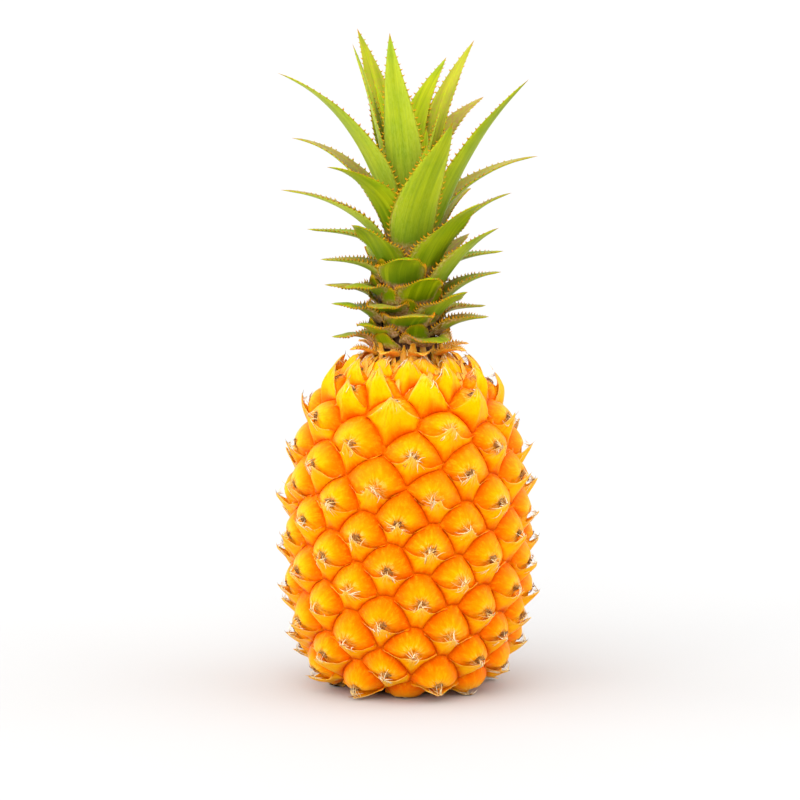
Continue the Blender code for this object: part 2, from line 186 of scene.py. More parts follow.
def setUp(tree, node, settings):
    # a setting is a property or an input; an input takes a value, a hex colour or another node's output
    for key, value in settings.items():
        if key == "ramp":
            stops = node.color_ramp.elements
            while len(stops) < len(value):
                stops.new(0.5)
            for stop, (place, colour) in zip(stops, value):
                stop.position = place
                stop.color = toLinear(colour)
        elif not isinstance(key, int) and key not in node.inputs:
            setattr(node, key, value)
        elif isinstance(value, bpy.types.NodeSocket):
            tree.links.new(value, node.inputs[key])
        else:
            node.inputs[key].default_value = toLinear(value) if isinstance(value, str) else value


def addNode(tree, kind, settings, output=0):
    node = tree.nodes.new("ShaderNode" + kind)
    setUp(tree, node, settings)
    return node.outputs[output]


def layUp(tree, colour, layers):
    # lays colours over one another. Each has what drives it, the range over which it comes in,
    # its least and most share, its colour, and whatever keeps it to one part of the surface
    for source, low, high, least, most, over, *parts in layers:
        share = addNode(tree, "MapRange", {
            "Value": source, "From Min": low, "From Max": high, "To Min": least, "To Max": most})
        for part in parts:
            share = addNode(tree, "Math", {"operation": "MULTIPLY", 0: share, 1: part})
        colour = addNode(tree, "Mix", {"data_type": "RGBA", 0: share, 6: colour, 7: over}, 2)
    return colour


rindLook = {
    "sunny": "#F8A400",      # crowns of the eyes
    "golden": "#F48C00",
    "thread": "#F8B010",     # yellower threads along the bracts
    "flank": "#EC6A00",      # deeper orange: a tint on some eyes, streaks round the tips, and painted shade down the steep sides of the eyes
    "litYellow": "#FCB400",     # painted light: yellower on the lit sides and just under each lip; also over the shoulder and foot
    "speckle": "#F4AA20",
    "creaseShade": "#D65400",     # painted shade down in the seams
    "straw": "#F6C878",      # dry papery edge and torn threads
    "stain": "#7A4212",      # brown round the dried flower, and painted shade in the hollow above each lip
    "char": "#5C3210",       # dead points of the bracts
    # axis, from and to in mm, share: painted light, yellowest on the left side where the side light falls,
    # then yellower over the shoulder, on the right side and towards the foot
    "litSides": (("X", -10, -44, 0.95), ("Z", 85, 115, 0.6), ("X", 16, 46, 0.5), ("Z", 42, 8, 0.5)),
    "patch": 7.0,            # mm across a colour patch
    "pore": 0.9,             # mm across the finest grain
    "roughness": 0.40,
    "glow": 0.2,
}


def makeRind(look):
    # ripe pineapple rind: waxy skin over wet flesh, so it glows a little and has a soft, low gloss
    material, tree, shader = startMaterial("ripeRind")
    marks = {name: addNode(tree, "Attribute", {"attribute_name": name}, "Fac")
             for name in ("seam", "tint", "stain", "lip", "char", "torn", "luck", "bright")}
    place = addNode(tree, "TexCoord", {}, "Object")
    patches = addNode(tree, "TexNoise", {"Vector": place, "Scale": 1000 / look["patch"], "Detail": 3.0})
    grain = addNode(tree, "TexNoise", {"Vector": place, "Scale": 1000 / look["pore"], "Detail": 4.0})
    middle = addNode(tree, "TexNoise", {"Vector": place, "Scale": 520.0, "Detail": 3.0, "Roughness": 0.6})
    # the UV map is in millimetres from each eye's tip: threads and tears run out from there like a star
    uv = addNode(tree, "UVMap", {"uv_map": "UVMap"})
    away = addNode(tree, "VectorMath", {"operation": "LENGTH", 0: uv}, "Value")
    ray = addNode(tree, "VectorMath", {"operation": "NORMALIZE", 0: uv})
    ray = addNode(tree, "VectorMath", {"operation": "SCALE", 0: ray, "Scale": 2.6})
    shift = {}
    for axis, source, times in (("X", marks["luck"], 37.0), ("Y", marks["luck"], 71.0), ("Z", away, 0.22)):
        shift[axis] = addNode(tree, "Math", {"operation": "MULTIPLY", 0: source, 1: times})
    ray = addNode(tree, "VectorMath", {
        "operation": "ADD", 0: ray, 1: addNode(tree, "CombineXYZ", shift)})
    rays = addNode(tree, "TexNoise", {"Vector": ray, "Scale": 1.9, "Detail": 3.0, "Roughness": 0.7})
    # reach of the torn star, and of the threads that run on from it, in mm from the tip
    near, paleReach, deepReach = (
        addNode(tree, "MapRange", {
            "Value": away, "From Min": low, "From Max": high, "To Min": inner, "To Max": outer})
        for low, high, inner, outer in ((0.4, 4.4, 1.0, 0.0), (1, 9, 1.0, 0.4), (1, 9, 0.9, 0.5)))
    tornNear = addNode(tree, "Math", {"operation": "MULTIPLY", 0: near, 1: marks["torn"]})
    spot = {axis: addNode(tree, "SeparateXYZ", {0: place}, axis) for axis in "XZ"}
    # painted light: yellower on the sides where the side lights fall; yellower also over the shoulder and
    # foot
    litSide = 0.0
    for axis, low, high, share in look["litSides"]:
        side = addNode(tree, "MapRange", {
            "Value": spot[axis], "From Min": low * mm, "From Max": high * mm, "To Max": share})
        litSide = addNode(tree, "Math", {"operation": "MAXIMUM", 0: litSide, 1: side})
    skin = layUp(tree, look["sunny"], (
        (patches, 0.38, 0.66, 0.0, 1.0, look["golden"]),
        (marks["tint"], 0.0, 1.0, 0.0, 0.5, look["flank"]),
        (litSide, 0.0, 1.0, 0.0, 1.0, look["litYellow"]),
        # painted light: lighter and yellower on each bract just under its lip
        (marks["bright"], 0.0, 1.0, 0.0, 1.0, look["litYellow"]),
        # painted shade: deeper orange down the sides of each eye, darkest in the seams
        (marks["seam"], 0.42, 0.86, 0.0, 1.0, look["flank"]),
        (marks["seam"], 0.88, 1.0, 0.0, 1.0, look["creaseShade"]),
        (rays, 0.5, 0.68, 0.0, 0.75, look["thread"], paleReach),
        (rays, 0.48, 0.34, 0.0, 0.5, look["flank"], deepReach),
        (grain, 0.56, 0.7, 0.0, 0.2, look["speckle"]),
        # brown round the dried flower, with painted shade in the hollow above the lip
        (middle, 0.4, 0.6, 0.0, 1.0, look["stain"], marks["stain"]),
        (rays, 0.49, 0.57, 0.0, 1.0, look["straw"], tornNear),
        (rays, 0.47, 0.38, 0.0, 0.55, look["stain"], tornNear),
        (middle, 0.42, 0.6, 0.15, 1.0, look["straw"], marks["lip"]),
        (middle, 0.35, 0.6, 0.4, 1.0, look["char"], marks["char"])))
    rough = addNode(tree, "MapRange", {
        "Value": patches, "From Min": 0.3, "From Max": 0.7,
        "To Min": look["roughness"] - 0.07, "To Max": look["roughness"] + 0.1})
    star = addNode(tree, "Math", {"operation": "MULTIPLY", 0: near, 1: rays})
    bump = addNode(tree, "Bump", {"Height": middle, "Strength": 0.35, "Distance": 0.3 * mm})
    bump = addNode(tree, "Bump", {"Height": star, "Strength": 0.6, "Distance": 0.5 * mm, "Normal": bump})
    bump = addNode(tree, "Bump", {"Height": grain, "Strength": 0.3, "Distance": 0.08 * mm, "Normal": bump})
    setUp(tree, shader, {
        "Base Color": skin, "Roughness": rough, "Normal": bump, "IOR": 1.45, "Specular IOR Level": 0.16,
        "Specular Tint": "#FFB428", "Subsurface Weight": look["glow"], "Subsurface Radius": (2.4, 0.9, 0.12),
        "Subsurface Scale": 1.0 * mm})
    return material


strawLook = {
    "ramp": [(0.0, "#FFF3D0"), (0.35, "#F7D489"), (0.65, "#C98A3A"), (1.0, "#5A3414")],   # fresh to dead
    "grain": "#B9843C",
}


def makeStraw(look):
    # dried bract and flower threads: papery, matt, cream to dark brown
    material, tree, shader = startMaterial("driedThread")
    place = addNode(tree, "TexCoord", {}, "Object")
    grain = addNode(tree, "TexNoise", {"Vector": place, "Scale": 900.0, "Detail": 3.0})   # about 1 mm
    tone = addNode(tree, "Attribute", {"attribute_name": "tone"}, "Fac")
    tone = addNode(tree, "ValToRGB", {"ramp": look["ramp"], "Fac": tone})
    setUp(tree, shader, {
        "Base Color": layUp(tree, tone, [(grain, 0.4, 0.65, 0.0, 0.35, look["grain"])]), "Roughness": 0.7,
        "Subsurface Weight": 0.15, "Subsurface Radius": (1.0, 0.8, 0.4), "Subsurface Scale": 0.5 * mm,
        "Normal": addNode(tree, "Bump", {"Height": grain, "Strength": 0.4, "Distance": 0.1 * mm})})
    return material


leafLook = {
    "bright": "#B6BE06",     # young leaves high in the crown
    "fresh": "#96AC04",
    "deep": "#446A02",       # old leaves low down, darker stripes, and painted shade in the folds and towards the foot
    "sunlit": "#CCD41C",     # the yellower stripes
    "bloom": "#C0CE52",      # pale scurf that a thumb would rub off
    "margin": "#CC9A14",     # horny edge
    "tooth": "#E05A14",
    "point": "#B8621A",      # dry tip of the blade
    "foot": "#98602A",       # dry scurf where a leaf clasps the stem
    "ash": "#DDB48A",        # greyer scurf over it
    "blush": "#A46A4C",      # dry pinkish streaks on inner faces
}


def makeLeafGreen(look):
    # crown leaf: thick waxy blade with fine lengthwise ribs, a pale bloom and brown scurf at the foot
    material, tree, shader = startMaterial("crownLeaf")
    marks = {name: addNode(tree, "Attribute", {"attribute_name": name}, "Fac")
             for name in ("along", "across", "age", "bloom", "dry", "foot", "tooth")}
    # the UV map is in millimetres: ribs about 0.45 mm apart, scurf, and broad stripes the whole length
    uv = addNode(tree, "UVMap", {"uv_map": "UVMap"})
    ribs, scurf, stripes = (
        addNode(tree, "TexNoise", {
            "Vector": addNode(tree, "Mapping", {"Vector": uv, "Scale": (across, along, 1.0)}),
            "Scale": 1.0, "Detail": detail, "Roughness": rough})
        for across, along, detail, rough in (
            (2.2, 0.04, 4.0, 0.6), (1.6, 0.45, 6.0, 0.75), (0.6, 0.02, 2.0, 0.5)))
    place = addNode(tree, "TexCoord", {}, "Object")
    patches = addNode(tree, "TexNoise", {"Vector": place, "Scale": 90.0, "Detail": 2.0})   # 11 mm
    dust = addNode(tree, "TexNoise", {"Vector": place, "Scale": 1100.0, "Detail": 3.0})    # 0.9 mm
    edge = addNode(tree, "MapRange", {"Value": marks["across"], "From Min": 0.93, "From Max": 0.995})
    ragged = addNode(tree, "MapRange", {
        "Value": scurf, "From Min": 0.3, "From Max": 0.7, "To Min": -0.3, "To Max": 0.3})
    foot = addNode(tree, "Math", {"operation": "ADD", 0: marks["foot"], 1: ragged})
    blade = layUp(tree, look["bright"], (
        (patches, 0.35, 0.65, 0.0, 1.0, look["fresh"]),
        # older leaves, and painted shade down the middle and towards the foot of each blade
        (marks["age"], 0.0, 1.0, 0.0, 1.0, look["deep"]),
        (stripes, 0.5, 0.32, 0.0, 0.3, look["deep"]),
        (stripes, 0.52, 0.7, 0.0, 0.4, look["sunlit"]),
        (ribs, 0.42, 0.62, 0.0, 0.3, look["deep"]),
        (scurf, 0.3, 0.6, 0.25, 1.0, look["bloom"], marks["bloom"]),
        (scurf, 0.4, 0.56, 0.1, 1.0, look["blush"], marks["dry"]),
        (foot, 0.45, 1.1, 0.0, 1.0, layUp(tree, look["foot"], [(dust, 0.36, 0.7, 0.0, 0.9, look["ash"])])),
        (scurf, 0.35, 0.6, 0.3, 1.0, look["margin"], edge),
        (marks["along"], 0.95, 1.0, 0.0, 0.9, look["point"]),
        (marks["tooth"], 0.0, 0.5, 0.0, 1.0, look["margin"]),
        (marks["tooth"], 0.4, 1.0, 0.0, 1.0, look["tooth"])))
    rough = addNode(tree, "MapRange", {
        "Value": scurf, "From Min": 0.35, "From Max": 0.65, "To Min": 0.34, "To Max": 0.55})
    bump = addNode(tree, "Bump", {"Height": ribs, "Strength": 0.4, "Distance": 0.1 * mm})
    bump = addNode(tree, "Bump", {"Height": scurf, "Strength": 0.25, "Distance": 0.1 * mm, "Normal": bump})
    setUp(tree, shader, {
        "Base Color": blade, "Roughness": rough, "Normal": bump, "IOR": 1.45, "Specular IOR Level": 0.15,
        "Specular Tint": "#DCE830", "Subsurface Weight": 0.12, "Subsurface Radius": (0.6, 1.0, 0.2),
        "Subsurface Scale": 0.6 * mm})
    return material


paperLook = {
    "foot": "#F49808",       # fresh and orange where it joins the rind
    "gold": "#F8A410",
    "edge": "#F8C454",       # thin papery margins let light through
    "tip": "#CE7A1E",
    "tooth": "#D0741C",
}


def makeDryBract(look):
    # dry collar bract: orange going papery gold, pale at the edges and brown at the tip
    material, tree, shader = startMaterial("dryBract")
    along, across, tooth = (addNode(tree, "Attribute", {"attribute_name": name}, "Fac")
                            for name in ("along", "across", "tooth"))
    # veins about 0.5 mm apart run the length of the bract; the UV map is in millimetres
    uv = addNode(tree, "UVMap", {"uv_map": "UVMap"})
    veins = addNode(tree, "TexNoise", {
        "Vector": addNode(tree, "Mapping", {"Vector": uv, "Scale": (1.9, 0.12, 1.0)}),
        "Scale": 1.0, "Detail": 4.0})
    place = addNode(tree, "TexCoord", {}, "Object")
    patches = addNode(tree, "TexNoise", {"Vector": place, "Scale": 260.0, "Detail": 4.0})   # 4 mm
    edge = addNode(tree, "MapRange", {"Value": across, "From Min": 0.7, "From Max": 1.0})
    tip = addNode(tree, "MapRange", {"Value": along, "From Min": 0.84, "From Max": 1.0})
    colour = layUp(tree, look["foot"], (
        (along, 0.1, 0.7, 0.0, 1.0, look["gold"]),
        (veins, 0.42, 0.62, 0.0, 0.35, look["edge"]),
        (patches, 0.35, 0.6, 0.0, 1.0, look["edge"], edge),
        (patches, 0.4, 0.55, 0.3, 1.0, look["tip"], tip),
        (patches, 0.6, 0.72, 0.0, 0.4, look["tip"]),
        (tooth, 0.0, 1.0, 0.0, 1.0, look["tooth"])))
    setUp(tree, shader, {
        "Base Color": colour, "Roughness": 0.5, "Subsurface Weight": 0.5,
        "Subsurface Radius": (1.8, 0.9, 0.15), "Subsurface Scale": 1.3 * mm,
        "Normal": addNode(tree, "Bump", {"Height": veins, "Strength": 0.5, "Distance": 0.25 * mm})})
    return material


stemLooks = {
    # material: pale threads, dark threads, roughness
    "crownStemFibre": ("#7A4E24", "#382010", 0.75),
    "cutStalkFibre": ("#8A6238", "#3E2814", 0.85),
}


def makeStemFlesh(name):
    # fibrous stem: dull, with threads about 0.7 mm apart running up it
    pale, dark, roughness = stemLooks[name]
    material, tree, shader = startMaterial(name)
    place = addNode(tree, "TexCoord", {}, "Object")
    long = addNode(tree, "Mapping", {"Vector": place, "Scale": (1.0, 1.0, 0.15)})
    threads = addNode(tree, "TexNoise", {"Vector": long, "Scale": 1400.0, "Detail": 5.0})
    blotches = addNode(tree, "TexNoise", {"Vector": place, "Scale": 300.0, "Detail": 3.0})
    setUp(tree, shader, {
        "Base Color": layUp(tree, dark, (
            (threads, 0.35, 0.65, 0.0, 1.0, pale),
            (blotches, 0.45, 0.7, 0.0, 0.5, dark))),
        "Roughness": roughness,
        "Normal": addNode(tree, "Bump", {"Height": threads, "Strength": 0.8, "Distance": 0.3 * mm})})
    return material


rind = makeRind(rindLook)
straw = makeStraw(strawLook)
leafGreen = makeLeafGreen(leafLook)
dryBract = makeDryBract(paperLook)
print("materials made")


# the fruit: eyes in a spiral over a barrel

fruitForm = {
    "widest": 52 * mm, "radius": 43 * mm, "above": 75 * mm, "highPower": 2.6,
    "taper": 60 * mm, "lowPower": 2.4,
    "heel": 12 * mm, "underside": 3 * mm, "heelPower": 4.0,   # below the heel it turns in to the flat foot
    "bottomRim": 14 * mm, "topRim": 14.8 * mm,
    # where each end is looked for, and the radius and floor of the socket that closes it
    "sockets": ((-1, 0.03, 11.5 * mm, 6.3 * mm), (0.11, 1, 13 * mm, 119 * mm)),
    "eyeArea": 257e-6, "eyeGrowth": 0.169, "middle": 66 * mm,
    "turn": math.radians(137.404), "drift": math.radians(0.0019), "start": math.radians(251.1), "shift": -1.1,
    "neighbours": (1, 2, 3, 5, 8, 13, 21, 34, 55), "spare": 36, "wander": 1.7 * mm,
    "topShare": 0.36, "topFrom": (104 * mm, 120 * mm),   # the last rows under the crown are crowded
    "flameFrom": (101 * mm, 114 * mm),                   # from here up the bracts run up to long points
}
eyeForm = {
    "height": 5.1,            # mm, seam to crown of an eye
    "steps": 6,               # points along each side of an eye's outline
    "rings": (1.0, 0.975, 0.945, 0.905, 0.86, 0.8, 0.73, 0.66, 0.58, 0.5, 0.42, 0.34, 0.26, 0.18, 0.1),
    "tilt": math.radians(-7), # the lips slope a little down to the right
    "pocket": 1.7,            # mm, hollow just above the lip
    "bulge": 0.10,            # how far a side of the outline bows, as a share of its length
}
outlineSteps = 400


def rounded(share, power):
    # width left, from 1 to 0, as share goes from 0 to 1 along the side of a rounded square
    return np.maximum(0, 1 - share ** power) ** (1 / power)


def outlineTable(form):
    # the barrel's outline as lists: radius, height, map height q with dq = ds / r, place in the spiral
    angle = np.pi / 2 * (1 - np.arange(outlineSteps + 1) / outlineSteps)
    down = form["widest"] - form["underside"]
    height = form["widest"] - down * np.sin(angle) ** (2 / form["heelPower"])
    radius = form["radius"] * rounded((form["widest"] - height) / form["taper"], form["lowPower"])
    heelShare = np.clip((form["heel"] - height) / (form["heel"] - form["underside"]), 0, 1)
    low = np.column_stack([radius * rounded(heelShare, form["heelPower"]), height])
    angle = np.pi / 2 * np.arange(1, outlineSteps + 1) / outlineSteps
    rise = np.sin(angle) ** (2 / form["highPower"])
    radius = form["radius"] * rounded(rise, form["highPower"])
    high = np.column_stack([radius, form["widest"] + form["above"] * rise])
    points = np.vstack([low[low[:, 0] >= form["bottomRim"]], high[high[:, 0] >= form["topRim"]]])
    run = np.hypot(*np.diff(points, axis=0).T)
    middle = (points[1:, 0] + points[:-1, 0]) / 2
    area = form["eyeArea"] * (1 + form["eyeGrowth"] * (points[1:, 1] - form["middle"]) / form["middle"])
    area *= mixed(1.0, form["topShare"], blendIn(*form["topFrom"], points[1:, 1]))
    q = runSum(0, run / middle)
    place = runSum(0, fullTurn * middle * run / area)
    place -= np.interp(form["middle"], points[:, 1], place)
    slope = unit(np.gradient(points, q, axis=0))
    return {"radius": points[:, 0], "height": points[:, 1], "q": q, "place": place,
            "outward": slope[:, 1], "up": -slope[:, 0]}


table = outlineTable(fruitForm)


def outlineAt(name, q):
    return np.interp(q, table["q"], table[name])


def onFruit(azimuth, q, relief):
    # points raised off the barrel along its normal, never under the floor; lengths in metres
    radius = outlineAt("radius", q) + relief * outlineAt("outward", q)
    height = outlineAt("height", q) + relief * outlineAt("up", q)
    return roundAxis(radius, azimuth, np.maximum(height, 0))


def eyeCentres(form):
    first = math.ceil(table["place"][0]) - form["spare"]
    last = math.floor(table["place"][-1]) + form["spare"]
    centres = []
    for number in range(first, last + 1):
        place = number + form["shift"]
        q = float(np.interp(place, table["place"], table["q"]))
        if place < table["place"][0]:
            perEye = form["eyeArea"] / (fullTurn * form["bottomRim"] ** 2)
            q = table["q"][0] + (place - table["place"][0]) * perEye
        elif place > table["place"][-1]:
            perEye = form["eyeArea"] / (fullTurn * form["topRim"] ** 2)
            q = table["q"][-1] + (place - table["place"][-1]) * perEye
        # no eye sits quite where the spiral would have it
        chance = random.Random(number + 500)
        radius = float(outlineAt("radius", q))
        wander = form["wander"] / radius if form["topRim"] * 1.7 < radius else 0.0
        azimuth = form["start"] + form["turn"] * number + form["drift"] * number * number
        centres.append((azimuth + chance.uniform(-1, 1) * wander, q + chance.uniform(-1, 1) * wander))
    return centres


def cutPolygon(polygon, normalX, normalY, limit):
    kept = []
    for index, here in enumerate(polygon):
        there = polygon[(index + 1) % len(polygon)]
        sideHere = normalX * here[0] + normalY * here[1] - limit
        sideThere = normalX * there[0] + normalY * there[1] - limit
        if sideHere <= 0:
            kept.append(here)
        if (sideHere < 0 < sideThere) or (sideThere < 0 < sideHere):
            share = sideHere / (sideHere - sideThere)
            kept.append((mixed(here[0], there[0], share), mixed(here[1], there[1], share)))
    return kept


def eyeOutline(centres, index, form):
    # what is nearer to this centre than to any other, on the unrolled barrel
    azimuth, q = centres[index]
    wide = 2.6
    lowest = table["q"][0] - q
    highest = table["q"][-1] - q
    polygon = [(-wide, lowest), (wide, lowest), (wide, highest), (-wide, highest)]
    for step in form["neighbours"]:
        for other in (index - step, index + step):
            if 0 <= other < len(centres) and polygon:
                turn = (centres[other][0] - azimuth + math.pi) % fullTurn - math.pi
                rise = centres[other][1] - q
                polygon = cutPolygon(polygon, turn, rise, (turn * turn + rise * rise) / 2)
    return polygon


def bowedBorder(polygon, q, shape):
    # each eye bulges up over the two above it, so its own foot is drawn in between the two below
    border = []
    for here, there in zip(polygon, np.roll(polygon, -1, axis=0)):
        way = there - here
        sideways = np.array([way[1], -way[0]])
        fromEnd = min(abs(here[1] + q - table["q"][0]), abs(here[1] + q - table["q"][-1]))
        onRim = abs(sideways[0]) < 1e-9 and fromEnd < 1e-6
        push = 0 if onRim else shape["bulge"] * float(np.clip(1.35 * sideways[1] / np.hypot(*way), -1, 1))
        for share in np.arange(shape["steps"]) / shape["steps"]:
            border.append(mixed(here, there, share) + sideways * push * math.sin(math.pi * share))
    return np.array(border)


def makeEyes(form, shape):
    # one dictionary for each eye: where it is, its outline in mm about its middle, and its own luck
    chance = random.Random(7)
    centres = eyeCentres(form)
    degrees = np.arange(0, 360, 2)
    fine = np.radians(degrees)
    window = bell(np.minimum(degrees, 360 - degrees), 22.0)
    eyes = []
    for index, (azimuth, q) in enumerate(centres):
        luck = chance.uniform(0.93, 1.07)
        if not table["q"][0] - 1.2 < q < table["q"][-1] + 1.2:
            continue
        polygon = np.array(eyeOutline(centres, index, form))
        if len(polygon) < 3:
            continue
        after = np.roll(polygon, -1, axis=0)
        size = (polygon[:, 0] * after[:, 1] - after[:, 0] * polygon[:, 1]).sum() / 2
        if size < 0.0002:
            continue
        middle = polygon.mean(0)
        radius = float(outlineAt("radius", q + middle[1]))
        height = float(outlineAt("height", q + middle[1]))
        border = (bowedBorder(polygon, q, shape) - middle) * radius / mm
        angle = np.unwrap(np.arctan2(border[:, 1], border[:, 0]))
        reach = np.interp(fine, angle, np.hypot(border[:, 0], border[:, 1]), period=fullTurn)
        soft = np.real(np.fft.ifft(np.fft.fft(reach) * np.fft.fft(window / window.sum())))
        expected = form["eyeArea"] * mixed(1.0, form["topShare"], float(blendIn(*form["topFrom"], height)))
        full = min(1.0, math.sqrt(size) * radius / math.sqrt(expected))
        rim = float(np.clip((radius - form["topRim"]) / (18 * mm), 0, 1)) if height > form["widest"] else 1.0
        flame = float(blendIn(*form["flameFrom"], height))
        eyes.append({
            "azimuth": azimuth + middle[0], "q": q + middle[1], "scale": radius / mm, "border": border,
            "angle": angle, "fine": fine, "reach": reach, "soft": soft, "full": full, "flame": flame,
            "top": float(np.clip((height - 90 * mm) / (34 * mm), 0, 1)),
            "tilt": shape["tilt"] + chance.uniform(-0.09, 0.09) * (1 + 2 * flame),
            "seed": chance.random(),
            "tint": chance.random() * (1.0 if chance.random() < 0.35 else 0.4),
            "tipShift": chance.uniform(-1.0, 0.9), "brown": chance.choice((0.0, 0.25, 0.5, 0.9)),
            "torn": chance.uniform(0.55, 1.0),
            "hollowSide": chance.choice((-1.0, 1.0)),
            "crown": shape["height"] * mixed(0.25, 1.0, rim) * full * luck,
        })
    return eyes


def reachAt(eye, angle, soft):
    return np.interp(angle, eye["fine"], eye["soft"] if soft else eye["reach"], period=fullTurn)


def lipHeight(eye, across):
    # how high the lip of an eye's bract stands (mm from its middle), against the place across from -1 to 1
    tall = np.interp(math.pi / 2, eye["fine"], eye["reach"])
    wave = -0.04 - 0.20 * np.sin(np.pi * np.abs(across)) ** 1.1 + 0.05 * bell(across, 0.16)
    flame = -0.25 + 0.85 * (1 - np.abs(across) ** 1.15)
    return tall * mixed(wave, flame, eye["flame"])


def aboveLip(eye, x, y):
    # how far a place lies above the lip in mm, and its place across from -1 to 1
    across = x / reachAt(eye, 0.0, True)
    return y - lipHeight(eye, np.clip(across, -1, 1)) + math.tan(-eye["tilt"]) * x, across


def pillow(eye, x, y):
    # height in mm of an eye's rounded body over the seam surface
    r = np.hypot(x, y)
    angle = np.arctan2(y, x)
    hard = reachAt(eye, angle, False)
    soft = reachAt(eye, angle, True)
    share = np.clip(r / mixed(soft, hard, blendIn(0.7, 1.0, r / hard)), 0, 1)
    upper = (1 - share ** 2.3) ** 0.85
    lower = (1 - share ** 1.35) ** 0.95
    return eye["crown"] * mixed(lower, upper, blendIn(-0.55, 0.3, np.sin(angle)))


def eyeBody(eye, x, y, shape):
    # the pillow with a hollow above the lip, deepest on one side of the tip, and cut back behind the bract
    high = pillow(eye, x, y)
    above, across = aboveLip(eye, x, y)
    room = np.clip(1 - np.clip(across, -1, 1) ** 2, 0, 1) * eye["full"]
    side = 0.75 + 0.25 * np.tanh((x - eye["tipShift"]) * eye["hollowSide"] / 2.0)
    high = high - shape["pocket"] * bell(above - 0.8, 1.5) * side * room
    high = high - blendIn(0.3, -1.2, above) * room * np.clip(high / 4, 0, 1)
    # three soft sepals meet over the middle of the crown
    angle = np.arctan2(y - 0.5, x)
    fold = np.abs(np.mod(angle / (fullTurn / 3) + 0.75, 1.0) - 0.5) * 2
    high = high - 0.22 * bell(1 - fold, 0.09) * bell(np.hypot(x, y), 3.2) * room
    dents = np.sin(x * 0.9 + eye["seed"] * 40) * np.sin(y * 0.8 + eye["seed"] * 70)
    return high + 0.16 * dents * eye["full"] * np.clip(high / 4, 0, 1)


def placeOnEye(eye, x, y, high):
    # mm about an eye's middle to points in metres
    return onFruit(eye["azimuth"] + x / eye["scale"], eye["q"] + y / eye["scale"], high * mm)


def tipOf(eye):
    # where the tip of the eye's bract springs from, mm from the eye's middle
    return np.array([eye["tipShift"], float(lipHeight(eye, 0.0))])


def stainAndShadeAt(eye, x, y):
    # brown mark in the pocket beside the tip, and painted shade along the hollow above the lip
    tip = tipOf(eye)
    spot = bell(x - tip[0] - 0.5, 1.5) * bell(y - tip[1] - 0.9, 1.2) * eye["brown"]
    above, across = aboveLip(eye, x, y)
    room = np.clip(1 - across ** 2, 0, 1)
    return np.maximum(spot, 0.52 * bell(above - 0.7, 0.9) * room * (0.4 + 0.6 * eye["seed"]))


rindMarks = ("seam", "tint", "stain", "lip", "char", "torn", "luck", "bright")


def makeFruitSkin(eyes, form, shape):
    shell = newShell(*rindMarks)
    rings = np.array(shape["rings"])[:, None]
    for eye in eyes:
        border = eye["border"]
        count = len(border)
        reach = np.hypot(border[:, 0], border[:, 1])
        soft = reachAt(eye, eye["angle"], True)
        length = rings * mixed(soft, reach, blendIn(0.7, 1.0, rings))
        x = np.append(length * border[:, 0] / reach, 0.0)
        y = np.append(length * border[:, 1] / reach, 0.0)
        high = eyeBody(eye, x, y, shape)
        high[:count] = 0
        start = addPoints(shell, placeOnEye(eye, x, y, high), np.column_stack([x, y]) - tipOf(eye),
                          # painted shade: darker towards each eye's outline, and in the hollow above the lip
                          # beside the brown stain
                          seam=np.append(np.repeat(rings, count), 0.0), tint=eye["tint"],
                          stain=stainAndShadeAt(eye, x, y), torn=eye["torn"], luck=eye["seed"])
        joinRings(shell, start, count, len(rings))
        joinTip(shell, start + (len(rings) - 1) * count, count, start + len(rings) * count)
    skin = makePiece("fruitSkin", shell, rind)
    closeEnds(skin, form)
    dress(skin, "rind", "fruit")
    return skin


def closeEnds(piece, form):
    # both ends are closed like the solid under them: a flat ring, a socket wall and its floor
    bm = bmesh.new()
    bm.from_mesh(piece.data)
    bmesh.ops.remove_doubles(bm, verts=[v for v in bm.verts if v.is_boundary], dist=0.02 * mm)
    for low, high, socket, floor in form["sockets"]:
        rim = {v for e in bm.edges if len(e.link_faces) == 1 for v in e.verts if low < v.co.z < high}
        rim = sorted(rim, key=lambda v: math.atan2(v.co.x, -v.co.y))
        level = sum(v.co.z for v in rim) / len(rim)
        angles = [math.atan2(v.co.x, -v.co.y) for v in rim]
        mouth = [bm.verts.new(roundAxis(socket, angle, level)) for angle in angles]
        foot = [bm.verts.new(roundAxis(socket, angle, floor)) for angle in angles]
        middle = bm.verts.new((0, 0, floor))
        for index in range(len(rim)):
            after = (index + 1) % len(rim)
            bm.faces.new((rim[index], rim[after], mouth[after], mouth[index]))
            bm.faces.new((mouth[index], mouth[after], foot[after], foot[index]))
            bm.faces.new((foot[index], foot[after], middle))
    bmesh.ops.recalc_face_normals(bm, faces=bm.faces[:])
    for face in bm.faces:
        face.smooth = True
    bm.to_mesh(piece.data)
    bm.free()


eyes = makeEyes(fruitForm, eyeForm)
makeFruitSkin(eyes, fruitForm, eyeForm)
print("fruit skin of", len(eyes), "eyes")


# bracts: each eye's lower half is a papery-edged bract with a scalloped lip and a hooked tip

bractForm = {
    "across": 25, "up": 11,
    "lift": 0.75,          # mm the lip stands off the eye at its ends
    "beak": 1.9,           # mm it stands off at the tip
    "beakWide": 0.24,      # how much of the lip the tip lifts, as a share of its half
    "tipLength": 1.2,      # mm of free point at the middle of the lip
    "topLength": 2.8,      # the same on the topmost rows
    "foot": 0.8,           # mm thick at the foot
    "thickness": 0.42,     # and towards the lip
    "ceiling": 127.5 * mm, "girth": 50.2 * mm,
}


def upAndOut(eye, lengths):
    # free points stand out of the rind; on the topmost rows they follow the shoulder up to the crown
    outward = float(outlineAt("outward", eye["q"]))
    up = float(outlineAt("up", eye["q"]))
    out = mixed(0.85, 0.16, eye["flame"])
    rise = mixed(0.25, 0.98, eye["flame"])
    way = roundAxis(out * outward - rise * up, eye["azimuth"], out * up + rise * outward)
    return lengths[..., None] * way * mm


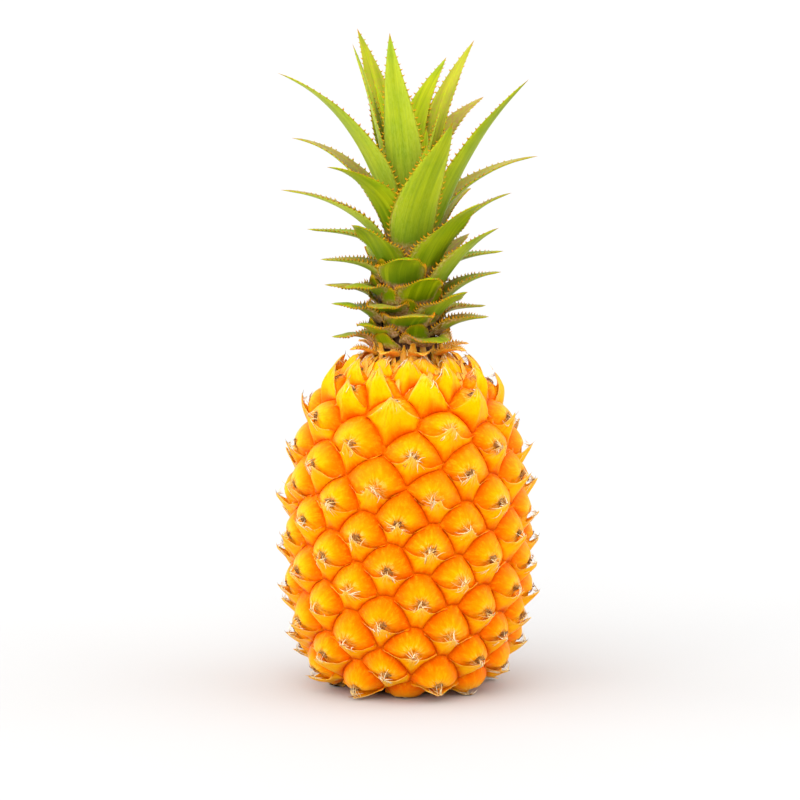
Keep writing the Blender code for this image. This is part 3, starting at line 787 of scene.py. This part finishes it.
def withinGirth(points):
    # draws in whatever stands out more than the girth of the fruit with its bract tips
    out = np.hypot(points[..., 0], points[..., 1])
    kept = np.where(out > bractForm["girth"], mixed(bractForm["girth"], out, 0.25), out)
    points[..., :2] *= (kept / np.maximum(out, 1e-9))[..., None]
    return points


def underCeiling(points, ceiling):
    height = points[..., 2]
    points[..., 2] = np.maximum(np.where(height > ceiling, mixed(ceiling, height, 0.3), height), 0.0)
    return withinGirth(points)


def makeBracts(eyes, form):
    shell = newShell(*rindMarks)
    a = np.linspace(-1, 1, form["across"])
    a = np.sign(a) * np.abs(a) ** 1.25      # closer together in the middle, where the tip is
    across = a[:, None]
    up = np.linspace(0, 1, form["up"])[None, :] ** 0.8
    for eye in eyes:
        full = eye["full"]
        if full < 0.45:
            continue
        chance = np.random.default_rng(int(eye["seed"] * 1e6))
        corners = [0.97 * reachAt(eye, angle, False) * np.array([math.cos(angle), math.sin(angle)])
                   for angle in (math.pi + eye["tilt"], eye["tilt"])]
        rag = np.convolve(chance.normal(0, 0.25, form["across"] + 4), [0.25, 0.5, 0.25], "same")[2:-2]
        rag = rag * (1 - a ** 2)
        shifted = ((a + (1 - a ** 2) * eye["tipShift"] / 7 + 1) / 2)[:, None]
        lip = mixed(corners[0], corners[1], shifted)
        lip[:, 1] += lipHeight(eye, a) + rag
        footAngle = -math.pi / 2 + eye["tilt"] + a * math.pi / 2
        footReach = 0.965 * reachAt(eye, footAngle, False)
        x = mixed((footReach * np.cos(footAngle))[:, None], lip[:, :1], up)
        y = mixed((footReach * np.sin(footAngle))[:, None], lip[:, 1:], up)
        beak = np.exp(-np.abs(a / form["beakWide"]) ** 1.5)
        lift = mixed(form["lift"], form["beak"], beak) * (1 - 0.5 * a ** 4) + 0.15 * rag
        lift = lift[:, None] * up ** 1.6
        keel = 0.35 * bell(across, 0.09) * np.sin(np.pi * up * 0.85)
        groove = 0.55 * bell(np.abs(across) - 0.42, 0.2) * np.sin(np.pi * up)
        ear = 1.5 * bell(1 - np.abs(across), 0.13) * up ** 2
        high = pillow(eye, x, y) + 0.12 + (lift + keel - groove + ear) * full
        under = high - mixed(form["foot"], form["thickness"], up) * mixed(1.0, 0.55, blendIn(0.85, 1, up))
        wide = mixed(0.11, 0.5, eye["flame"])
        length = mixed(form["tipLength"], form["topLength"], eye["flame"]) * chance.uniform(0.75, 1.25) * full
        free = upAndOut(eye, length * np.exp(-np.abs(across / wide) ** 1.5) * blendIn(0.5, 1.0, up))
        front = underCeiling(placeOnEye(eye, x, y, high) + free, form["ceiling"])
        back = underCeiling(placeOnEye(eye, x, y, under) + free, form["ceiling"])
        dead = bell(across, wide) * blendIn(0.86, 1.0, up) * mixed(0.3, 0.9, eye["top"])
        addSheet(shell, front, back, np.stack([x, y], -1) - tipOf(eye),
                 # painted shade: darker at the foot of the bract and out at its ends
                 seam=np.clip(np.maximum(1 - up * 1.4, np.abs(across) ** 4 * 0.9), 0, 1.0),
                 lip=blendIn(0.88, 1.0, up) * mixed(0.6, 1.0, bell(across, 0.35)),
                 char=dead * mixed(0.4, 1.0, eye["brown"]),
                 # painted light: lighter and yellowest just under the lip
                 bright=0.85 * blendIn(0.15, 0.7, up) * (1 - 0.5 * across ** 2),
                 tint=eye["tint"], torn=eye["torn"] * 0.8, luck=eye["seed"])
    piece = makePiece("bracts", shell, rind)
    dress(piece, "rind")
    return piece


bracts = makeBracts(eyes, bractForm)
print("bracts:", len(bracts.data.polygons), "faces")


# dried threads at each tip

threadForm = {
    "each": 20, "dark": 11,           # pale threads at each tip, and dead ones in the pocket of a brown one
    "stations": 5, "width": 0.42,     # mm across at the root
    "stout": 1.4,                     # how much wider the dead ones are
    "floor": 0.4 * mm,
}


def addThread(shell, path, width, tone):
    # a tapering thread with three sides along a path of points in metres
    path = path.copy()
    path[:, 2] = np.maximum(path[:, 2], threadForm["floor"])
    path = withinGirth(path)
    way = unit(np.gradient(path, axis=0))
    side = unit(np.cross(way, unit(path * (1, 1, 0))))
    lift = unit(np.cross(side, way))
    half = (width * mm / 2 * (1 - np.linspace(0, 1, len(path)) ** 1.5 * 0.85))[:, None]
    corners = np.stack([path - side * half, path + lift * half * 0.6, path + side * half], 1)
    start = addPoints(shell, corners, tone=tone)
    last = start + (len(path) - 1) * 3
    joinRings(shell, start, 3, len(path))
    shell["faces"].extend([(start, start + 2, start + 1), (last, last + 1, last + 2)])


def makeThreads(eyes, form, bract):
    shell = newShell("tone")
    t = np.linspace(0, 1, form["stations"])
    for eye in eyes:
        if eye["full"] < 0.6:
            continue
        chance = np.random.default_rng(int(eye["seed"] * 1e6) + 5)
        tip = tipOf(eye)
        flame = eye["flame"]
        for number in range(int(form["each"] * mixed(1, 0.5, flame))):
            across = chance.normal(0, 0.15)
            startX = across * 7 + tip[0]
            startY = float(lipHeight(eye, across)) + 0.1
            standing = mixed(bract["lift"], bract["beak"], math.exp(-abs(across / bract["beakWide"]) ** 1.5))
            kind = chance.random()
            if kind < 0.45:      # hangs down over the bract
                angle = math.radians(-90 + chance.normal(0, 24))
                length = chance.uniform(1.2, 3.9)
            elif kind < 0.8:     # lies up over the crown
                angle = math.radians(90 + chance.normal(0, 32))
                length = chance.uniform(1.0, 3.5)
            else:                # runs along the lip
                angle = math.radians((0 if chance.random() < 0.5 else 180) + chance.normal(0, 22))
                length = chance.uniform(1.5, 3.2)
            bend = chance.normal(0, 1.0)
            x = startX + length * t * math.cos(angle) + bend * t ** 2
            y = startY + length * t * math.sin(angle) + 0.4 * bend * np.sin(np.pi * t)
            rise = pillow(eye, x, y) + mixed(standing + 0.15, 0.3 + 0.5 * chance.random(), t)
            if kind < 0.45:
                rise = np.maximum(rise, pillow(eye, x, y) + standing * (1 - t * 0.75) + 0.3)
            path = placeOnEye(eye, x, y, rise) + upAndOut(eye, bract["topLength"] * 0.5 * flame * (1 - t))
            addThread(shell, path, form["width"] * chance.uniform(0.6, 1.25), chance.beta(1.1, 3.2))
        # one stiff dry point carries on from the tip
        start = placeOnEye(eye, tip[:1], tip[1:], pillow(eye, tip[:1], tip[1:]) + bract["beak"] * 0.9)[0]
        longest = 0.5 * bract["tipLength"] + bract["topLength"] * flame
        out = upAndOut(eye, longest + chance.uniform(0.8, 2.0) * t)
        curl = np.array([chance.normal(0, 0.6) * mm, 0, chance.uniform(0.2, 1.3) * mm])
        path = start + out + (t ** 2)[:, None] * curl
        addThread(shell, path, form["width"] * form["stout"], chance.uniform(0.45, 0.95))
        if eye["brown"] > 0.2:
            for number in range(form["dark"]):
                spotX = tip[0] + 0.3 + chance.normal(0, 0.55)
                spotY = tip[1] + 0.8 + chance.normal(0, 0.5)
                angle = math.radians(chance.uniform(50, 210))
                length = chance.uniform(1.4, 3.6)
                x = spotX + length * (t - 0.5) * math.cos(angle) + chance.normal(0, 0.3) * t ** 2
                y = spotY + length * (t - 0.5) * math.sin(angle)
                rise = eyeBody(eye, x, y, eyeForm) + 0.25 + 0.6 * np.sin(np.pi * t)
                path = placeOnEye(eye, x, y, rise)
                addThread(shell, path, form["width"] * form["stout"], chance.uniform(0.6, 1.0))
    piece = makePiece("driedThreads", shell, straw)
    dress(piece, "dry_bract")
    return piece


threads = makeThreads(eyes, threadForm, bractForm)
print("dried threads:", len(threads.data.polygons), "faces")


# papery bracts that crowd round the foot of the crown

paperForm = {
    "across": 7, "along": 13, "thickness": 0.35, "ceiling": 133.0 * mm,
    # foot radius, how many, length, width, lean out of the shoulder and outward curl in degrees
    "rows": ((29.5, 24, 9.0, 4.8, 2, -10), (27.0, 25, 10.0, 4.5, 4, -10), (25.0, 25, 10.5, 4.2, 7, -8),
             (22.0, 24, 10.0, 4.0, 8, -4), (19.0, 22, 9.5, 3.8, 9, 6), (16.8, 20, 9.0, 3.7, 10, 18),
             (15.4, 19, 8.5, 4.2, 2, 22), (15.0, 17, 11.0, 3.2, 42, 75), (14.8, 17, 6.6, 4.6, -4, 6)),
}


def makePapers(form):
    shell = newShell("along", "across", "tooth", "luck")
    chance = random.Random(11)
    shoulder = slice(int(np.argmax(table["radius"])) + 1, None)
    t = np.linspace(0, 1, form["along"])
    a = np.linspace(-1, 1, form["across"])
    for row, (radius, count, length, width, lean, curl) in enumerate(form["rows"]):
        for number in range(count):
            azimuth = fullTurn * (number + 0.5 * (row % 2) + chance.uniform(-0.22, 0.22)) / count
            foot = (radius + chance.uniform(-1.2, 1.2)) * mm
            q = float(np.interp(foot, table["radius"][shoulder][::-1], table["q"][shoulder][::-1]))
            base = onFruit(0.0, q, 0.6 * mm)
            slope = math.atan2(outlineAt("outward", q), -outlineAt("up", q))   # up the shoulder
            long = length * chance.uniform(0.75, 1.2) * mm
            wide = width * chance.uniform(0.8, 1.15) * mm
            turn = math.radians(curl + chance.uniform(-25, 25))
            tilt = math.radians(lean + chance.uniform(-6, 8))
            twist = chance.uniform(-0.5, 0.5)
            heading = (slope - tilt - turn * t ** 2)[:, None]
            step = long / (form["along"] - 1)
            r = runSum(-base[1], np.cos(heading[:-1, 0]) * step)[:, None]
            z = runSum(base[2] - 1.2 * mm, np.sin(heading[:-1, 0]) * step)[:, None]
            half = wide / 2 * (0.8 + 0.7 * t) * np.maximum(1 - t ** 1.5, 0.0) + 0.12 * mm
            rag = np.array([chance.uniform(-0.25, 0.25) for place in t]) * mm * np.sin(np.pi * t)
            sideways = (half + rag)[:, None] * a + (twist * 1.5 * mm * t ** 2)[:, None]
            cup = 0.30 * half[:, None] * a ** 2 * (1 - 0.4 * t)[:, None]
            pleat = 0.12 * mm * np.cos(a * 9 + row)
            turned = azimuth + sideways / np.maximum(r, 10 * mm)
            front, back = (
                roundAxis(r - depth * np.sin(heading), turned, z + depth * np.cos(heading))
                for depth in (cup + pleat, cup + form["thickness"] * mm))
            uv = np.stack([sideways / mm + number * 9 + row * 31, (t * long / mm)[:, None] + 0 * a], -1)
            addSheet(shell, underCeiling(front, form["ceiling"]), underCeiling(back, form["ceiling"]), uv,
                     along=np.repeat(t, form["across"]), across=np.tile(np.abs(a), form["along"]),
                     luck=chance.random())
    piece = makePiece("crownFootPapers", shell, dryBract)
    dress(piece, "dry_bract")
    return piece


papers = makePapers(paperForm)
print("papery bracts:", len(papers.data.polygons), "faces")


# crown leaves: each CAD leaf gives its middle surface, and a fine toothed blade is drawn through it

leafForm = {
    "stations": 44, "across": 13,
    "toothLength": 1.6, "toothBase": 1.25, "toothThick": 0.36,
    "lengths": (18, 60), "spacing": (1.2, 2.5),    # shortest and longest leaves, and mm between their teeth
}
leafTraits = {
    # leaf number: pale bloom, dry blush on the inner face; the rest are drawn by chance
    43: (1.0, 0.1), 38: (0.6, 0.2), 41: (0.55, 0.0), 28: (0.3, 0.0), 31: (0.25, 0.1), 37: (0.3, 1.0),
    35: (0.7, 0.9), 30: (0.7, 0.9), 34: (0.2, 0.8), 42: (0.4, 0.5), 22: (0.5, 0.6), 16: (0.2, 1.0),
    26: (0.3, 0.7), 40: (0.3, 0.4), 45: (0.5, 0.2), 25: (0.1, 0.0), 33: (0.1, 0.0), 23: (0.1, 0.1),
    15: (0.0, 0.1), 20: (0.1, 0.0),
}
leafDroop = {   # leaf number: how far its tip hangs, in mm
    1: 0.1, 2: 0.1, 4: 0.1, 7: 0.1, 9: 0.1, 10: 0.3, 12: 0.1, 14: 0.2, 15: 0.8, 17: 0.5, 20: 1.0, 23: 1.1,
    25: 0.8,
}
leafCount = 48


def bladeRings(node):
    # from foot to tip: every ring of a CAD blade as five middle points and the half-thickness there
    bm = bmesh.new()
    bm.from_mesh(node.data)
    bmesh.ops.remove_doubles(bm, verts=bm.verts[:], dist=0.01 * mm)
    inmost = min(bm.verts, key=lambda v: math.hypot(v.co.x, v.co.y))
    anchor = Vector((0, 0, inmost.co.z))
    tip = max(bm.verts, key=lambda v: (v.co - anchor).length)
    met = {tip}
    front = [tip]
    middles = [np.repeat([tuple(tip.co)], 5, 0)]
    halves = [0.0]
    while front:
        following = []
        for v in front:
            for e in v.link_edges:
                other = e.other_vert(v)
                if other not in met:
                    met.add(other)
                    following.append(other)
        front = following
        if following:
            ring = np.array([tuple(v.co) for v in following])
            far = np.linalg.norm(ring[:, None] - ring[None], axis=-1)
            i, j = np.unravel_index(far.argmax(), far.shape)
            centre = ring.mean(0)
            azimuth = math.atan2(centre[0], -centre[1])
            side = ring[j] - ring[i]
            if side[0] * math.cos(azimuth) + side[1] * math.sin(azimuth) < 0:
                side = -side
            ring = ring[np.argsort(ring @ side)]
            pairs = [ring[index:index + 2].mean(0) for index in (1, 3, 5)]
            middles.append(np.array([ring[0], *pairs, ring[7]]))
            halves.append(np.linalg.norm(ring[3] - ring[4]) / 2)
    bm.free()
    return np.array(middles[::-1]), np.array(halves[::-1])


def leafMarks(number, along, across, inner):
    # how old, pale and dry each leaf is, with painted shade; low leaves are dark and scurfy at the foot and
    # flanks
    chance = random.Random(number * 7 + 3)
    low = 1 - number / leafCount
    age = min(1.0, max(0.0, 0.04 + 0.42 * low + chance.uniform(-0.1, 0.14)))
    drawn = (chance.choice((0.1, 0.25, 0.5)) * (1 - 0.6 * low), chance.choice((0.05, 0.3, 0.7)))
    pale, dryness = leafTraits.get(number, drawn)
    footDepth = mixed(0.16, 0.36, low)
    flank = blendIn(0.35, 0.95, across) * (1 - blendIn(footDepth + 0.15, footDepth + 0.5, along)) * low ** 0.7
    # the leaf's age and painted shade: older leaves are darker, most down the middle of the blade, and every
    # blade has painted shade towards its foot where the blades overlap
    shade = age * (0.35 + 0.65 * (1 - across ** 2))
    shade = shade + 0.6 * (1 - blendIn(0.05, 0.62, along)) * (1 - 0.6 * across ** 2)
    return {"age": np.clip(shade, 0, 1),
            "bloom": pale * (1 - inner) * (0.55 + 0.45 * across),
            "dry": dryness * inner * blendIn(0.05, 0.4, along) * (0.7 + 0.3 * across),
            "foot": np.maximum(1 - blendIn(footDepth * 0.35, footDepth, along), flank * 1.05)}


def bladeGrid(middles, along, t, a, droop, seed):
    # the blade's middle surface, smooth through the CAD leaf's, and its normals
    rows = throughPoints(along, middles, t)
    grid = np.array([throughPoints([-1, -0.5, 0, 0.5, 1], row, a) for row in rows])
    tangent = unit(np.gradient(grid, axis=0))
    sideways = unit(np.gradient(grid, axis=1))
    sideways[-1] = sideways[-2]
    normal = unit(np.cross(sideways, tangent))
    normal[-1] = normal[-2]
    length = np.linalg.norm(np.diff(middles[:, 2], axis=0), axis=1).sum() / mm
    t = t[:, None]
    if droop > 0:
        # a leaf whose tip hangs loses its gutter first, so that its back rounds over
        middle = grid[:, len(a) // 2][:, None]
        back = normal[:, len(a) // 2][:, None]
        depth = ((grid - middle) * back).sum(-1, keepdims=True)
        grid = grid - 1.25 * blendIn(0.25, 0.68, t)[..., None] * depth * back
        grid[..., 2] -= droop * mm * np.clip((t - 0.66) / 0.34, 0, 1) ** 1.7
        grid[..., 2] += (0.8 + 0.3 * droop) * mm * bell(t - 0.62, 0.2) * (1 - a ** 2)
    # a faint ripple along both edges
    wave = np.sin(t * length / 3.1 + seed) * np.abs(a) ** 3 * 0.22 * mm * blendIn(0, 0.3, t) * (1 - t)
    return grid + normal * wave[..., None], tangent, sideways, normal, length


def addTeeth(shell, form, surface, t, length, toothGap, seed, marksOf):
    # a row of teeth along both edges, hooked towards the tip
    chance = np.random.default_rng(seed)
    spacing = np.interp(length, form["lengths"], form["spacing"]) * toothGap
    low = np.interp(length, [25, 50], [1.0, 0.2])   # short leaves lie flat, so their teeth stand up
    size = np.interp(length, form["lengths"], [0.95, 1.0])
    for sign, column in ((-1, 0), (1, -1)):
        edgeRun = runSum(0, np.linalg.norm(np.diff(surface[0][:, column], axis=0), axis=1)) / mm
        place = chance.uniform(0.8, 1.5) * spacing
        while place < edgeRun[-1] - 2.2:
            share = float(np.interp(place, edgeRun, t))
            at, way, out, away = (
                np.array([np.interp(place, edgeRun, values[:, column, axis]) for axis in range(3)])
                for values in surface)
            way = unit(way)
            out = unit(unit(out) * sign - 0.55 * low * unit(away))
            big = size * chance.uniform(0.8, 1.15) * mixed(1.0, 0.45, share ** 2) * mm
            long = way * form["toothBase"] * big
            thick = np.cross(way, out) * form["toothThick"] * big
            high = form["toothLength"] * big
            root = at - out * 0.2 * mm
            deep = at - out * 0.25 * mm
            middle = at + (out * 0.5 + way * 0.12) * high
            start = addPoints(
                shell, [root - long * 0.5, deep + thick, root + long * 0.5, deep - thick,
                        middle - long * 0.26, middle + thick * 0.55,
                        middle + long * 0.2, middle - thick * 0.55, at + (out + way * 0.55) * high],
                [(0.0, place)] * 9, tooth=[0.15] * 4 + [0.6] * 4 + [1.0], along=share, across=0.95,
                **marksOf(share, 0.95, 0.0))
            joinRings(shell, start, 4, 2)
            joinTip(shell, start + 4, 4, start + 8)
            shell["faces"].append((start + 3, start + 2, start + 1, start))
            place += spacing * chance.uniform(0.75, 1.25)


def makeBlade(name, node, material, slot, form, marksOf, toothGap, droop, seed):
    middles, halves = bladeRings(node)
    nT = form["stations"]
    nA = form["across"]
    along = runSum(0, np.linalg.norm(np.diff(middles[:, 2], axis=0), axis=1))
    along = along / along[-1]
    t = np.linspace(0, 1, nT + 1) ** 0.9
    a = np.linspace(-1, 1, nA)
    grid, tangent, sideways, normal, length = bladeGrid(middles, along, t, a, droop, seed)
    half = throughPoints(along, halves, t)[:, None] * np.sqrt(np.clip(1 - np.abs(a) ** 2.4, 0, 1))
    offset = half[..., None] * normal
    rings = np.concatenate([(grid + offset)[:nT], (grid - offset)[:nT, -2:0:-1]], 1)
    across = np.concatenate([a, a[-2:0:-1]])
    sides = len(across)
    width = np.linalg.norm(np.diff(grid, axis=1), axis=-1).sum(1) / mm
    # each blade has its own part of the pattern
    ownX, ownY = seed * 3.7, seed * 5.3
    uv = np.stack([across * width[:nT, None] / 2 + ownX, (t[:nT] * length + ownY)[:, None] + 0 * across], -1)
    marks = {"along": np.repeat(t[:nT], sides), "across": np.tile(np.abs(across), nT),
             "inner": np.tile(np.arange(sides) >= nA, nT) * 1.0}
    shell = newShell("along", "across", "inner", "tooth", *marksOf(0.0, 0.0, 0.0))
    addPoints(shell, rings, uv, **marks, **marksOf(*marks.values()))
    tip = addPoints(shell, grid[-1, nA // 2], (ownX, length + ownY), along=1.0, **marksOf(1.0, 0.0, 0.0))
    foot = addPoints(shell, grid[0].mean(0), (ownX, ownY), **marksOf(0.0, 0.0, 0.0))
    joinRings(shell, 0, sides, nT)
    joinTip(shell, (nT - 1) * sides, sides, tip)
    joinTip(shell, 0, sides, foot)
    addTeeth(shell, form, (grid, tangent, sideways, normal), t, length, toothGap, seed, marksOf)
    piece = makePiece(name, shell, material)
    dress(piece, slot, node.name)
    return piece


# short scurfy scales wrapped round the stem between the blades, with a row of small teeth

footForm = {
    "count": 37, "from": 130.9 * mm, "step": 0.78 * mm, "radius": (12.1 * mm, 9.8 * mm),
    "first": 320, "turn": 137.508,   # degrees round the stem
    "across": 29, "along": 8, "length": 7.5, "width": 12.5, "lean": 30, "thickness": 0.6,
    "droop": 2.8 * mm, "teeth": 22, "toothLength": 0.9 * mm,
}


def makeLeafFeet(form):
    shell = newShell("along", "across", "inner", "tooth", "age", "bloom", "dry", "foot")
    chance = random.Random(29)
    a = np.linspace(-1, 1, form["across"])
    t = np.linspace(0, 1, form["along"])
    up = t[:, None]
    for number in range(form["count"]):
        share = number / form["count"]
        azimuth = math.radians(form["first"] + form["turn"] * number)
        lean = math.radians(form["lean"] + chance.uniform(-8, 8)) * (0.6 + 0.8 * t[:-1])
        long = form["length"] * chance.uniform(0.85, 1.15)
        step = long * mm / (form["along"] - 1)
        r = runSum(mixed(*form["radius"], share), np.sin(lean) * step)[:, None]
        z = runSum(form["from"] + number * form["step"], np.cos(lean) * step)[:, None]
        tooth = np.abs(np.sin(a * form["teeth"])) * form["toothLength"] * up ** 6
        z = z - a ** 2 * up * form["droop"] + tooth
        sideways = form["width"] / 2 * (1 - 0.35 * share) * (1 - 0.25 * up ** 2) * a
        depth = form["thickness"] / 2 * mm * (1 - 0.5 * up) + 0 * a
        turned = azimuth + sideways * mm / r
        uv = np.stack([sideways + number * 17, up * long + 0 * a], -1)
        addSheet(shell, roundAxis(r - depth, turned, z), roundAxis(r + depth, turned, z), uv,
                 along=np.repeat(t * 0.4, form["across"]), across=np.tile(np.abs(a) * 0.9, form["along"]),
                 foot=np.maximum(0.15 + 0.85 * a ** 2, 1.05 - 1.5 * up),
                 tooth=0.4 * up ** 9 + 0 * a, age=0.45)
    piece = makePiece("leafFeet", shell, leafGreen)
    dress(piece, "leaf")
    return piece


leafFeet = makeLeafFeet(footForm)
print("leaf feet:", len(leafFeet.data.polygons), "faces")

leafFaces = 0
for number in range(1, leafCount + 1):
    leaf = makeBlade("leafBlade%02d" % number, nodes["leaf_%02d" % number], leafGreen, "leaf", leafForm,
                     lambda *marks: leafMarks(number, *marks), 1.0, leafDroop.get(number, 0.0), number)
    leafFaces += len(leaf.data.polygons)
print("leaves:", leafFaces, "faces")

for number in range(1, 9):
    makeBlade("collarBract%02d" % number, nodes["collar_bract_%02d" % number], dryBract, "dry_bract",
              leafForm, lambda *marks: {}, 0.9, 0.0, 60 + number)
print("collar bracts made")


# stem and stalk keep their CAD shape and get fibrous finishes

for name, look in (("crown_stem", "crownStemFibre"), ("peduncle_stub", "cutStalkFibre")):
    nodes[name].data.materials.clear()
    nodes[name].data.materials.append(makeStemFlesh(look))
print("stem and stalk finished")


# floor, light and camera

stageForm = {
    "floor": "#BDBDBD", "floorSize": 80, "floorDrop": 0.2 * mm, "world": 1.05,
    # soft lights: strength, turn from the front towards the left, height in degrees, width in degrees
    "lights": {"key": (1.2, 20, 40, 60), "top": (1.45, 0, 75, 110),
               "left": (1.2, 80, 24, 70), "right": (0.9, -84, 24, 70)},
}
cameraForm = {
    "lens": 180, "sensor": 36, "tilt": 8, "aim": (-0.003, 0.110),
    "wide": 0.304,   # metres of view at the fruit
}


def makeStage(form):
    bpy.ops.object.select_all(action="DESELECT")
    bpy.ops.mesh.primitive_plane_add(size=form["floorSize"], location=(0, 0, -form["floorDrop"]))
    floor = bpy.context.object
    floor.name = "floor"
    bpy.ops.object.transform_apply(location=True, rotation=True, scale=True)
    material, tree, shader = startMaterial("paleFloor")
    setUp(tree, shader, {"Base Color": form["floor"], "Roughness": 0.8, "Specular IOR Level": 0.1})
    floor.data.materials.append(material)
    world = bpy.data.worlds.new("studio")
    world.use_nodes = True
    background = world.node_tree.nodes["Background"]
    setUp(world.node_tree, background, {"Color": "#FFFFFF", "Strength": form["world"]})
    bpy.context.scene.world = world
    for name, (strength, turn, height, width) in form["lights"].items():
        data = bpy.data.lights.new(name + "Light", "SUN")
        data.energy = strength
        data.angle = math.radians(width)
        light = bpy.data.objects.new(name + "Light", data)
        height = math.radians(height)
        towards = Vector(roundAxis(math.cos(height), -math.radians(turn), math.sin(height)))
        light.rotation_euler = towards.to_track_quat("Z", "Y").to_euler()
        bpy.context.scene.collection.objects.link(light)


def makeCamera(form):
    data = bpy.data.cameras.new("camera")
    data.lens = form["lens"]
    data.sensor_width = form["sensor"]
    camera = bpy.data.objects.new("camera", data)
    distance = form["wide"] * form["lens"] / form["sensor"]
    tilt = math.radians(form["tilt"])
    camera.location = (form["aim"][0], -distance * math.cos(tilt), form["aim"][1] + distance * math.sin(tilt))
    camera.rotation_euler = (math.pi / 2 - tilt, 0, 0)
    bpy.context.scene.collection.objects.link(camera)
    bpy.context.scene.camera = camera


makeStage(stageForm)
makeCamera(cameraForm)
scene = bpy.context.scene
scene.view_settings.view_transform = "Standard"
scene.view_settings.look = "None"
scene.view_settings.exposure = 0.0
print("stage set")

print("scene built")
